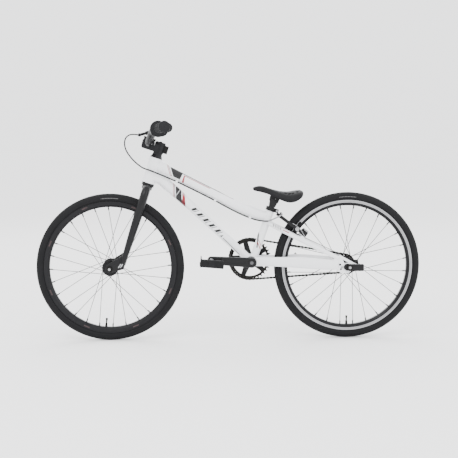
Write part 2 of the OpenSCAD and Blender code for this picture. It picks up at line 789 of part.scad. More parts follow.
module crank_arm(y0) {
    difference() {
        upright(y0, y0 + 13) strap(17.5, 13.5, crank_len);
        across(0, 0, y0 - 1, y0 + 11.5, spindle_r);
        across(crank_len, 0, y0 - 1, y0 + 15, 6);
        upright(y0 + 11, y0 + 14) translate([26, 0]) strap(8, 6.5, crank_len - 50);
    }
}
module crank_arm_left() {
    color("black") on_crank() crank_arm(60.5);
}
module spider() {
    difference() {
        union() {
            across(0, 0, chain_y - 16.5, chain_y - 1, 19);
            upright(chain_y - 6, chain_y - 2)
                for (k = [0:4]) rotate(216 + 72 * k) strap(13, 8.5, 55);
        }
        across(0, 0, -80, -30, spindle_r);
        for (k = [0:4]) rotate([0, -(216 + 72 * k), 0]) across(55, 0, -60, -40, 4.1);
    }
}
module crank_arm_right() {
    color("black") on_crank() {
        rotate([0, 180, 0]) mirror([0, 1, 0]) crank_arm(60.5);
        spider();
    }
}
module chainring() {
    color("black") difference() {
        upright(chain_y - 1.4, chain_y + 1.4) translate([bbx, bbz])
            polygon(sprocket(ring_teeth, ring_r, upper_angle));
        difference() {
            across(bbx, bbz, -60, -30, 61);
            on_crank() for (k = [0:4]) rotate([0, -(216 + 72 * k), 0]) {
                across(55, 0, -62, -28, 8.5);
                translate([55, -62, -8.5]) cube([12, 40, 17]);
            }
        }
        on_crank() for (k = [0:4]) rotate([0, -(216 + 72 * k), 0]) across(55, 0, -62, -28, 4.1);
    }
}
module crank_bolts() {
    color("silver") on_crank() {
        for (k = [0:4]) rotate([0, -(216 + 72 * k), 0]) {
            across(55, 0, chain_y - 7.6, chain_y + 2.6, 4);
            across(55, 0, chain_y - 7.6, chain_y - 6.05, 6);
            across(55, 0, chain_y + 1.45, chain_y + 3, 6);
        }
        both_sides() difference() {
            across(0, 0, 73.5, 76, 8.5);
            across(0, 0, 74.5, 78, 4);
        }
    }
}
module pedal_spindles() {
    color("silver") on_crank() {
        across(crank_len, 0, 61, 168, 6);
        across(crank_len, 0, 73.6, 77, 8);
        across(-crank_len, 0, -168, -61, 6);
        across(-crank_len, 0, -77, -73.6, 8);
    }
}
module pedal(x, z, tilt) {
    translate([x, 0, z]) rotate([0, tilt, 0]) difference() {
        union() {
            across(0, 0, 78, 174, 11);
            for (y = [79, 166]) upright(y, y + 8)
                polygon([[-40, -9], [-34, -13.5], [34, -13.5], [40, -9], [40, 9], [34, 13.5],
                         [-34, 13.5], [-40, 9]]);
            for (x = [-40, 32.5]) translate([x, 79, -13]) cube([7.5, 95, 26]);
            for (y = [105, 139]) translate([-36, y, -10]) cube([72, 7, 20]);
            for (x = [-36.5, -28, 28, 36.5], y = [90, 122, 163])
                if (abs(x) > 30) translate([x, y, -15.5]) cylinder(h = 31, r = 1.6);
        }
        across(0, 0, 70, 169, 6 + run_fit);
    }
}
pedal_at = [bbx + crank_len * cos(crank_tilt), bbz + crank_len * sin(crank_tilt)];
far_pedal_at = [bbx - crank_len * cos(crank_tilt), bbz - crank_len * sin(crank_tilt)];
module pedal_left() {
    color("#222222") pedal(pedal_at.x, pedal_at.y, -5);
}
module pedal_right() {
    color("#222222") mirror([0, 1, 0]) pedal(far_pedal_at.x, far_pedal_at.y, 3);
}

// ================= rear brake =================
module brake_arm() {
    difference() {
        union() {
            translate([0, stud_y, 14.3]) cylinder(h = 18.7, r = 7.6);
            translate([0, 0, 16]) linear_extrude(11)
                polygon([[-3, 34], [20, 36], [60, 38.5], [95, 33.5], [112, 33.5], [113, 41],
                         [98, 42.5], [60, 48], [20, 49], [-3, 48.5]]);
            translate([33, 49, 21.5]) rotate([90, 0, 0]) cylinder(h = 13, r = 9);
        }
        translate([0, stud_y, 0]) cylinder(h = 50, r = 4 + run_fit);
        translate([33, 60, 21.5]) rotate([90, 0, 0]) cylinder(h = 40, r = 3);
    }
}
module brake_pad() {
    translate([33, 0, 21.5]) {
        difference() {
            translate([-4.2, 13.6, -27]) cube([8.4, 8, 54]);
            for (z = [-16, 0, 16]) translate([-6, 13, z - 0.8]) cube([12, 3, 1.6]);
        }
        rotate([90, 0, 0]) {
            translate([0, 0, -56]) cylinder(h = 35, r = 2.95);
            translate([0, 0, -35.8]) cylinder(h = 14.5, r = 6);
            translate([0, 0, -51.5]) cylinder(h = 2.3, r = 7);
            translate([0, 0, -56]) cylinder(h = 4.6, r = 4.9, $fn = 6);
        }
    }
}
module brake_arm_left() {
    color("black") at_brake() brake_arm();
}
module brake_arm_right() {
    color("black") at_brake() mirror([0, 1, 0]) brake_arm();
    color("silver") at_brake() translate([98, -38, 26]) cylinder(h = 8, r = 3.2);
}
module brake_pad_left() {
    color("#333333") at_brake() brake_pad();
}
module brake_pad_right() {
    color("#333333") at_brake() mirror([0, 1, 0]) brake_pad();
}
module brake_noodle() {
    color("silver") bent_tube([noodle_start, noodle_turn, noodle_tip], 12, 2.5, 0);
    color("black") across(noodle_tip.x, noodle_tip.z, -14, 14.5, 3.6);
    color("silver") across(noodle_tip.x, noodle_tip.z, -48, -13, 0.8);
}
module brake_cable() {
    color("black")
        swept([for (p = smooth(cable_route, 4)) [p.x, p.y, p.z, cable_r, cable_r]], 10);
}

// ================= seat =================
module seat_post() {
    color("black") {
        along_seat() rotate_extrude()
            polygon([[0, seat_top - 120], [post_r, seat_top - 120], [post_r, seat_top + 3],
                     [12.5, seat_top + 14], [0, seat_top + 14]]);
        across(pivot.x, pivot.z, -12, 12, head_pad_r);
    }
}
// saddle outline along its length: x, half width, top, lower edge of the sides
saddle_line = [[-86, 9, 534, 523.5], [-96, 13, 537.5, 520.5], [-112, 17, 538.5, 517],
               [-135, 20, 533, 510], [-158, 29, 526, 501], [-180, 42, 520.5, 490],
               [-205, 55, 518.5, 482.5], [-228, 61, 521.5, 486], [-246, 55, 523.5, 496],
               [-257, 34, 520, 508]];
function shell_half(q, thin) =
    [for (k = [0:12]) let (a = 180 * k / 12)
        [q[0], (q[1] - thin) * cos(a), q[3] + (q[2] - thin * 1.6 - q[3]) * pow(sin(a), 0.75)]];
module saddle_shell(line, thick_out, thick_in) {
    S = line;
    n = 26;
    m = len(S);
    points = [for (q = S) each concat(
        shell_half(q, thick_out),
        let (r = shell_half(q, thick_in)) [for (j = [12:-1:0]) r[j]])];
    skin = [for (i = [0:m - 2], k = [0:n - 1])
        let (a = i * n + k, b = i * n + (k + 1) % n) [a, b, b + n, a + n]];
    e = (m - 1) * n;
    ends = [for (k = [0:11]) each [[25 - k, 24 - k, k + 1, k],
                                   [e + k, e + k + 1, e + 24 - k, e + 25 - k]]];
    polyhedron(points, concat(skin, ends), 4);
}
module saddle_pad() {
    color("#222222") saddle_shell(smooth(saddle_line, 2), 0, 5);
}
module saddle_base() {
    color("black") {
        saddle_shell([for (i = [4:16]) smooth(saddle_line, 2)[i]], 5.4, 8.6);
        difference() {
            across(pivot.x, pivot.z, -13, 13, head_pad_r + 7);
            across(pivot.x, pivot.z, -20, 20, head_pad_r + clear);
            translate([pivot.x - 40, -20, pivot.z - 40]) cube([80, 40, 47]);
        }
        translate([pivot.x - 12, -13, pivot.z + 18]) cube([24, 26, 14]);
    }
}

head_tube();
top_tube();
down_tube();
seat_tube();
bottom_bracket_shell();
chain_stays();
seat_stays();
rear_dropouts();
headset_bearings();
bottom_bracket_bearings();
seat_clamp();
chain_tensioners();
rear_axle();
rear_axle_nuts();
cable_guides();
chain();
brake_cable();
fork_steerer();
fork_leg_left();
fork_leg_right();
front_axle();
front_axle_nuts();
headset_covers();
stem();
stem_plate();
stem_bolts();
handlebar();
grip_left();
grip_right();
brake_lever_bracket();
brake_lever();
front_tyre();
front_inner_tube();
front_rim();
front_spokes();
front_hub();
front_hub_bearings();
rear_tyre();
rear_inner_tube();
rear_rim();
rear_spokes();
rear_hub();
rear_hub_bearings();
freewheel();
crank_spindle();
crank_arm_left();
crank_arm_right();
chainring();
crank_bolts();
pedal_spindles();
pedal_left();
pedal_right();
brake_arm_left();
brake_arm_right();
brake_pad_left();
brake_pad_right();
brake_noodle();
seat_post();
saddle_base();
saddle_pad();
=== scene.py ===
"""Looks of the small race bike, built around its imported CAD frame.

Metres in Blender, and millimetres in this script's own shapes, which `Shape.piece` scales.
+X points the way the bike travels, +Y to the rider's left, +Z up.
"""
import json
from math import acos, asin, atan2, copysign, cos, exp, hypot, pi, radians, sin, tan

import bmesh
import bpy
from mathutils import Matrix, Vector

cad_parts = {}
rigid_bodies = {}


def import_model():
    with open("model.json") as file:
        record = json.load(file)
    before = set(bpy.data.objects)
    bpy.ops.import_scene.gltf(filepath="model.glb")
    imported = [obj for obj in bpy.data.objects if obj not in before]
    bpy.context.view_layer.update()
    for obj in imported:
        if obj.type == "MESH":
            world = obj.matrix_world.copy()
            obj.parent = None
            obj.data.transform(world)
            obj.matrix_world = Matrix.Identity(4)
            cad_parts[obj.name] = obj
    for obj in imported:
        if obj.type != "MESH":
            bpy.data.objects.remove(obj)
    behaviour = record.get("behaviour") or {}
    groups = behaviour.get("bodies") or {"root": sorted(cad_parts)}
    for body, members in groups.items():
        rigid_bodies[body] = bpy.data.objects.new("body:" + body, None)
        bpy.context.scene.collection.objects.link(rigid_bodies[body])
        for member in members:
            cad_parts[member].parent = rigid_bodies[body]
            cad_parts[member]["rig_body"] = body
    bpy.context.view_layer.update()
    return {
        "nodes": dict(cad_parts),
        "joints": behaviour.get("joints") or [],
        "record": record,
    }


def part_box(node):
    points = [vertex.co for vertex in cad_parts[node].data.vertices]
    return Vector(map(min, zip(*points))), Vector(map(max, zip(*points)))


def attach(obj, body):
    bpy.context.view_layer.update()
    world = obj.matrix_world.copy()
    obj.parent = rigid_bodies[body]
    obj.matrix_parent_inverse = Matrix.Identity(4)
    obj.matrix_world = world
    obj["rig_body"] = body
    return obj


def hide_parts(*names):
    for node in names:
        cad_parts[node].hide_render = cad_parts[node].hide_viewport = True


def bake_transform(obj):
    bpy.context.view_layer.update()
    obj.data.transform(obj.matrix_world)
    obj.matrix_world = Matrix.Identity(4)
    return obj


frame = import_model()
nodes = frame["nodes"]
MM = 0.001
OTHER_SIDE = Matrix.Scale(-1, 4, (0, 1, 0))


def spin(degrees, axis):
    return Matrix.Rotation(radians(degrees), 4, axis)


# ---------------------------------------------------------------- places taken from the frame


def hinge(name):
    """Place of a joint in millimetres, and its axis."""
    joint = next(j for j in frame["joints"] if j["name"] == name)
    return Vector(joint["pos_m"]) / MM, Vector(joint["axis"])


STEER_AT, STEER_AXIS = hinge("steering")
FRONT_HUB = hinge("front_wheel_spin")[0]
REAR_HUB = hinge("rear_wheel_spin")[0]
TYRE_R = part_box("front_tyre")[1].z / MM / 2

# ---------------------------------------------------------------- camera, floor and light


def camera():
    data = bpy.data.cameras.new("camera")
    data.sensor_width = 36
    data.lens = 81.8
    data.clip_end = 100
    obj = bpy.data.objects.new("camera", data)
    bpy.context.scene.collection.objects.link(obj)
    yaw, pitch, roll = (radians(a) for a in (2.43, 5.29, 0.24))
    facing_right_side = spin(180, "Z") @ spin(90, "X")
    turn = Matrix.Rotation(-yaw, 4, "Z") @ facing_right_side
    tilt = Matrix.Rotation(-pitch, 4, "X") @ Matrix.Rotation(-roll, 4, "Z")
    obj.matrix_world = Matrix.Translation((0.154, 3.627, 0.724)) @ turn @ tilt
    bpy.context.scene.camera = obj


def area_light(name, place, size, power):
    data = bpy.data.lights.new(name, "AREA")
    data.shape = "RECTANGLE"
    data.size, data.size_y = size
    data.energy = power
    obj = bpy.data.objects.new(name, data)
    bpy.context.scene.collection.objects.link(obj)
    obj.location = place
    obj.rotation_euler = (Vector((0, 0, 0.4)) - Vector(place)).to_track_quat("-Z", "Y").to_euler()


def studio():
    bpy.ops.mesh.primitive_circle_add(vertices=96, radius=40, fill_type="NGON")
    floor = bpy.context.object
    floor.name = "floor"
    surface = Material("floor_paper", (0.9, 0.9, 0.9), 0.8)
    surface.bump(surface.noise(40, 2), 0.02)
    floor.data.materials.append(surface.done())
    area_light("key_light", (1.6, 3.2, 3.6), (3.0, 3.0), 130)
    area_light("fill_light", (-3.2, 2.4, 1.8), (3.0, 3.0), 50)
    area_light("back_light", (0.5, -3.2, 3.2), (4.0, 3.0), 80)
    world = bpy.data.worlds.new("studio")
    world.use_nodes = True
    tree = world.node_tree
    back = tree.nodes["Background"]
    place = tree.nodes.new("ShaderNodeTexCoord")
    split = tree.nodes.new("ShaderNodeSeparateXYZ")
    ramp = tree.nodes.new("ShaderNodeMapRange")
    ramp.inputs["To Min"].default_value = 2.5
    ramp.inputs["To Max"].default_value = 2.9
    tree.links.new(place.outputs["Generated"], split.inputs[0])
    tree.links.new(split.outputs["Z"], ramp.inputs["Value"])
    tree.links.new(ramp.outputs["Result"], back.inputs["Strength"])
    back.inputs["Color"].default_value = (0.985, 0.99, 1.0, 1)
    bpy.context.scene.world = world


# ---------------------------------------------------------------- materials


class Field:
    """A number worked out at each point of a surface, with plain arithmetic."""

    def __init__(self, tree, socket):
        self.tree, self.socket = tree, socket

    def op(self, operation, *others, clamp=False):
        node = self.tree.nodes.new("ShaderNodeMath")
        node.operation, node.use_clamp = operation, clamp
        for slot, value in zip(node.inputs, (self, *others)):
            if isinstance(value, Field):
                self.tree.links.new(value.socket, slot)
            else:
                slot.default_value = value
        return Field(self.tree, node.outputs[0])

    def __add__(self, other):
        return self.op("ADD", other)

    def __sub__(self, other):
        return self.op("SUBTRACT", other)

    def __mul__(self, other):
        return self.op("MULTIPLY", other)

    def __truediv__(self, other):
        return self.op("DIVIDE", other)

    def above(self, edge, soft=0.3):
        """1 where this is above edge, 0 below, soft millimetres in between."""
        return ((self - edge) / soft).op("ADD", 0.5, clamp=True)

    def below(self, edge, soft=0.3):
        return ((self * -1 + edge) / soft).op("ADD", 0.5, clamp=True)

    def between(self, low, high, soft=0.3):
        return self.above(low, soft) * self.below(high, soft)

    def part(self, step):
        """The fraction of this over step, from 0 to 1, again and again."""
        return (self / step).op("FRACT")

    def or_(self, other):
        return self.op("MAXIMUM", other)


class Material:
    """A procedural material: base shader, and colour, roughness and bump worked out per point."""

    def __init__(self, name, colour, rough, metal=0.0, coat=0.0, coat_rough=0.03, shine=0.5):
        self.mat = bpy.data.materials.new(name)
        self.mat.use_nodes = True
        self.tree = self.mat.node_tree
        self.shader = self.tree.nodes["Principled BSDF"]
        self.base = colour
        inputs = self.shader.inputs
        inputs["Base Color"].default_value = (*colour, 1)
        inputs["Roughness"].default_value = rough
        inputs["Metallic"].default_value = metal
        inputs["Coat Weight"].default_value = coat
        inputs["Coat Roughness"].default_value = coat_rough
        inputs["Specular IOR Level"].default_value = shine
        self.place = self.tree.nodes.new("ShaderNodeTexCoord").outputs["Object"]
        self.normal = None
        split = self.tree.nodes.new("ShaderNodeSeparateXYZ")
        self.tree.links.new(self.place, split.inputs[0])
        self.x, self.y, self.z = (Field(self.tree, s) * 1000 for s in split.outputs)

    def noise(self, scale, detail=3, stretch=(1, 1, 1)):
        squash = self.tree.nodes.new("ShaderNodeVectorMath")
        squash.operation = "MULTIPLY"
        squash.inputs[1].default_value = stretch
        node = self.tree.nodes.new("ShaderNodeTexNoise")
        node.inputs["Scale"].default_value = scale
        node.inputs["Detail"].default_value = detail
        self.tree.links.new(self.place, squash.inputs[0])
        self.tree.links.new(squash.outputs[0], node.inputs["Vector"])
        return Field(self.tree, node.outputs["Fac"])

    def cells(self, scale):
        node = self.tree.nodes.new("ShaderNodeTexVoronoi")
        node.inputs["Scale"].default_value = scale
        self.tree.links.new(self.place, node.inputs["Vector"])
        return Field(self.tree, node.outputs["Distance"])

    def along(self, start, end):
        """Distance along a line in the centre plane, and below it, from points (x, z)."""
        (ax, az), (bx, bz) = start, end
        length = hypot(bx - ax, bz - az)
        dx, dz = (bx - ax) / length, (bz - az) / length
        s = (self.x - ax) * dx + (self.z - az) * dz
        t = (self.z - az) * dx - (self.x - ax) * dz
        return s, t

    def radius(self, hub):
        """Distance from a wheel's axle, and angle round it in degrees."""
        dx, dz = self.x - hub.x, self.z - hub.z
        r = (dx * dx + dz * dz).op("SQRT")
        return r, dz.op("ARCTAN2", dx) * (180 / pi)

    def colour(self, mask, tint):
        """Lays a colour over the base where mask is 1."""
        mix = self.tree.nodes.new("ShaderNodeMix")
        mix.data_type = "RGBA"
        socket = self.shader.inputs["Base Color"]
        if socket.is_linked:
            self.tree.links.new(socket.links[0].from_socket, mix.inputs["A"])
        else:
            mix.inputs["A"].default_value = (*self.base, 1)
        mix.inputs["B"].default_value = (*tint, 1)
        self.tree.links.new(mask.op("MULTIPLY", 1.0, clamp=True).socket, mix.inputs["Factor"])
        self.tree.links.new(mix.outputs["Result"], socket)

    def set(self, name, field):
        self.tree.links.new(field.socket, self.shader.inputs[name])

    def bump(self, height, strength, distance=0.0005):
        node = self.tree.nodes.new("ShaderNodeBump")
        node.inputs["Strength"].default_value = strength
        node.inputs["Distance"].default_value = distance
        self.tree.links.new(height.socket, node.inputs["Height"])
        if self.normal is not None:
            self.tree.links.new(self.normal, node.inputs["Normal"])
        self.normal = node.outputs["Normal"]

    def soft_edges(self, radius):
        """Catches light along edges, as a small round does."""
        node = self.tree.nodes.new("ShaderNodeBevel")
        node.samples = 6
        node.inputs["Radius"].default_value = radius
        if self.normal is not None:
            self.tree.links.new(self.normal, node.inputs["Normal"])
        self.normal = node.outputs["Normal"]

    def done(self):
        if self.normal is not None:
            self.tree.links.new(self.normal, self.shader.inputs["Normal"])
        return self.mat


WHITE = (0.76, 0.765, 0.78)
INK = (0.003, 0.003, 0.0035)
RED = (0.26, 0.0005, 0.009)
DARK_RED = (0.09, 0.0005, 0.006)
SILVER = (0.36, 0.36, 0.37)
PALE = (0.4, 0.41, 0.42)


def white_paint(name, graphics=None):
    """Gloss white paint under clear lacquer, with the tube's printed graphics."""
    m = Material(name, WHITE, 0.32, coat=0.25, coat_rough=0.04, shine=0.25)
    m.colour(m.noise(9, 4) * 0.14, (0.76, 0.77, 0.79))
    if graphics:
        graphics(m)
    m.set("Roughness", m.noise(60, 3) * 0.08 + 0.27)
    m.bump(m.noise(420, 2), 0.035)
    m.soft_edges(0.0007)
    return m.done()


TOP_LINE = ((205, 587.5), (57, 512))
DOWN_LINE = ((210, 540), (37, 380.8))


def top_graphics(m):
    s, t = m.along(*TOP_LINE)
    slant = s - t * 0.944
    side = t.between(-18.6, 7)
    m.colour(slant.between(-3.0, -0.4) * t.between(-30, 10), RED)
    m.colour(slant.between(2.4, 5.2) * t.between(-30, 8), DARK_RED)
    m.colour(slant.above(10) * s.below(42) * side, INK)
    m.colour(s.below(240) * s.above(41) * t.between(-17.6, -15), INK)
    m.colour(s.between(50, 150, 8) * t.between(-13.6, -11.4), RED)
    m.colour((s - t * 0.25).between(49.5, 56) * t.between(-13, 12) * (s - t * 0.12).above(50), RED)


def down_graphics(m):
    s, t = m.along(*DOWN_LINE)
    slant = s - t * 0.95
    m.colour(slant.between(21.6, 24.2), RED)
    m.colour(slant.between(27, 30), DARK_RED)
    m.colour(slant.between(34, 61) * (s + t * 0.35).above(15), INK)
    m.colour((s - t * 0.1).between(39, 41.5) * slant.between(36, 61), PALE)
    m.colour(slant.between(65, 78) * t.above(-16, 14), RED)
    m.colour(slant.between(61, 79) * t.above(2, 6), DARK_RED)
    lean = s + t * 0.7
    wide = lean.part(28).between(0.06, 0.44, 0.02) * t.between(-8.5, 8)
    thin = lean.part(28).between(0.56, 0.66, 0.02) * t.between(-8.5, 8)
    m.colour(wide.or_(thin) * s.between(113, 256), INK)
    m.colour(s.between(262, 345) * (t - s * 0.055).between(-9.2, -6.9), INK)


def seat_graphics(m):
    s, t = m.along((-83, 276.5), (-148.8, 462.2))
    m.colour((s + t * 4.4).between(28, 48) * s.between(48, 100), INK)
    m.colour((s + t * 1.2).between(57, 61.5) * t.between(-6, 9), RED)
    m.colour((s + t * 1.2).between(68, 71) * t.between(-6, 9), RED)


def stay_graphics(m):
    s, t = m.along((-133, 412), (-378, 288))
    bars = (s - t * 0.6).part(7).between(0.1, 0.5, 0.05)
    m.colour(bars * s.between(20, 54) * t.between(-5, 3.4), INK)
    m.colour(s.between(58, 82) * t.between(-2.5, 0.4), RED)


def fork_graphics(m):
    """Two small slanted bars half way down the leg."""
    u, w = m.x - 376.8, m.z - 268.5
    lean = u + w * 0.6
    bars = lean.between(-5, -1.5).or_(lean.between(1.5, 5))
    m.colour(bars * w.between(-7, 7), PALE)


def gloss_black(name, graphics=None):
    m = Material(name, (0.003, 0.003, 0.0034), 0.34, coat=0.12, coat_rough=0.06, shine=0.14)
    m.colour(m.noise(30, 4) * 0.5, (0.005, 0.005, 0.006))
    if graphics:
        graphics(m)
    m.set("Roughness", m.noise(80, 4) * 0.14 + 0.28)
    m.bump(m.noise(500, 2), 0.03)
    m.soft_edges(0.0007)
    return m.done()


def satin_alloy(name, colour=(0.008, 0.008, 0.009)):
    """Black anodised or shot-blasted alloy, with a few lighter blotches here and there."""
    m = Material(name, colour, 0.42, metal=0.3, coat=0.05, coat_rough=0.2, shine=0.15)
    m.colour(m.noise(120, 5).above(0.62, 0.16) * 0.35, (0.022, 0.022, 0.024))
    m.set("Roughness", m.noise(150, 5) * 0.2 + 0.32)
    m.bump(m.noise(1400, 3), 0.12, 0.0003)
    m.soft_edges(0.0008)
    return m.done()


def bright_steel(name):
    m = Material(name, (0.34, 0.34, 0.35), 0.28, metal=1.0)
    m.colour(m.noise(70, 5) * 0.5, (0.25, 0.25, 0.26))
    m.set("Roughness", m.noise(260, 4, (1, 0.12, 1)) * 0.22 + 0.16)
    m.bump(m.noise(1500, 2, (1, 0.1, 1)), 0.08, 0.0003)
    m.soft_edges(0.0004)
    return m.done()


def crank_bolt_steel(name):
    """Black bolts of the chainring, and brighter ones at the crank's centre."""
    m = Material(name, (0.012, 0.012, 0.013), 0.34, metal=0.8, shine=0.2)
    r, angle = m.radius(hinge("crank_spin")[0])
    m.colour(r.below(6.2) * (m.noise(90, 4) * 0.3 + 0.7), (0.11, 0.11, 0.115))
    m.set("Roughness", m.noise(260, 4) * 0.2 + 0.24)
    m.bump(m.noise(1200, 2), 0.1, 0.0003)
    m.soft_edges(0.0004)
    return m.done()


def oiled_steel(name):
    """Blackened steel of the chain, chainring and freewheel."""
    m = Material(name, (0.011, 0.0105, 0.01), 0.36, metal=0.8, shine=0.15)
    m.colour(m.noise(220, 4).above(0.58, 0.12) * 0.5, (0.03, 0.028, 0.026))
    m.set("Roughness", m.noise(300, 4) * 0.24 + 0.26)
    m.bump(m.noise(900, 3), 0.1, 0.0003)
    m.soft_edges(0.0005)
    return m.done()


def rubber(name, colour=(0.005, 0.005, 0.0055), grain=900):
    m = Material(name, colour, 0.68, shine=0.1)
    m.colour(m.noise(25, 5) * 0.5, tuple(c * 1.5 for c in colour))
    m.set("Roughness", m.noise(90, 4) * 0.18 + 0.58)
    m.bump(m.noise(grain, 4), 0.25, 0.0004)
    return m.done()


def tyre_rubber(name, hub):
    """Matt tyre rubber: fine casing threads, moulded lines and pale dashes near the bead."""
    m = Material(name, (0.006, 0.006, 0.0066), 0.7, shine=0.1)
    r, angle = m.radius(hub)
    m.colour(m.noise(18, 5) * 0.5, (0.012, 0.012, 0.013))
    dashes = angle.part(1.25).between(0.15, 0.8, 0.05) * angle.between(83, 97, 0.2)
    m.colour(dashes * r.between(TYRE_R - 16.4, TYRE_R - 14.6), (0.15, 0.15, 0.15))
    m.set("Roughness", m.noise(70, 4) * 0.16 + 0.6)
    threads = ((angle * 9 + r * 2.2).op("SINE") + (angle * 9 - r * 2.2).op("SINE")) * 0.25
    m.bump(threads * r.below(TYRE_R - 9, 4) + m.noise(1100, 3) * 0.6, 0.22, 0.0004)
    return m.done()


def rim_alloy(name, hub, track):
    """Rim with a machined brake track, bright or black, above a black lower band."""
    m = Material(name, (0.007, 0.007, 0.008), 0.34, metal=0.3, coat=0.08, coat_rough=0.1, shine=0.15)
    r, angle = m.radius(hub)
    band = r.above(221.6) * r.below(230.2)
    hatch = (angle * 3.2 + r * 0.9).part(1).between(0.2, 0.6, 0.2)
    if track:
        m.colour(band, SILVER)
        m.colour(band * hatch * 0.55, (0.16, 0.16, 0.17))
        m.colour(band * r.between(224.6, 225.6) * 0.8, (0.03, 0.03, 0.03))
        m.set("Metallic", band * 0.4 + 0.3)
        m.set("Roughness", band * 0.06 + m.noise(400, 3) * 0.1 + 0.28)
        m.bump(hatch * band, 0.3, 0.0002)
    else:
        ticks = angle.part(45).between(0.44, 0.56, 0.004) * angle.part(0.9).between(0.2, 0.6, 0.1)
        m.colour(ticks * r.between(222, 226.5) * 0.8, (0.11, 0.07, 0.07))
        m.set("Roughness", m.noise(400, 3) * 0.12 + 0.28)
        m.bump(hatch * band, 0.08, 0.0002)
    m.soft_edges(0.0006)
    return m.done()


def black_resin(name):
    m = Material(name, (0.005, 0.005, 0.0055), 0.5, shine=0.14)
    m.colour(m.noise(50, 4) * 0.5, (0.008, 0.008, 0.009))
    m.set("Roughness", m.noise(130, 4) * 0.2 + 0.42)
    m.bump(m.cells(1500), 0.2, 0.0003)
    m.soft_edges(0.0008)
    return m.done()


def saddle_skin(name):
    """Moulded saddle cover with a pebbled grain."""
    m = Material(name, (0.004, 0.004, 0.0045), 0.52, shine=0.13)
    m.colour(m.noise(40, 4) * 0.5, (0.007, 0.007, 0.008))
    m.set("Roughness", m.noise(90, 4) * 0.16 + 0.44)
    m.bump(m.cells(620) + m.noise(1800, 2) * 0.4, 0.35, 0.0005)
    return m.done()


def cable_sheath(name):
    m = Material(name, (0.005, 0.005, 0.006), 0.38, coat=0.06, coat_rough=0.15, shine=0.12)
    m.colour(m.noise(90, 3) * 0.4, (0.01, 0.01, 0.011))
    m.set("Roughness", m.noise(200, 3) * 0.14 + 0.32)
    m.bump(m.noise(900, 2), 0.1, 0.0003)
    return m.done()


# ---------------------------------------------------------------- mesh building


def knot(p0, p1, p2, p3, u):
    return [0.5 * (2 * b + (c - a) * u + (2 * a - 5 * b + 4 * c - d) * u * u
                   + (3 * b - a - 3 * c + d) * u ** 3) for a, b, c, d in zip(p0, p1, p2, p3)]


def smooth(points, steps):
    """A smooth curve through points of any dimension, as the CAD part draws it."""
    last = len(points) - 1
    line = []
    for i in range(last):
        around = (points[max(i - 1, 0)], points[i], points[i + 1], points[min(i + 2, last)])
        line += [knot(*around, k / steps) for k in range(steps)]
    return line + [list(points[last])]


def flip(point):
    return (point[0], -point[1], *point[2:])


def arc(radius, start, end, steps):
    """Points of an arc in X-Z, with its angles in degrees."""
    angles = [radians(start + (end - start) * k / steps) for k in range(steps + 1)]
    return [(radius * cos(a), radius * sin(a)) for a in angles]


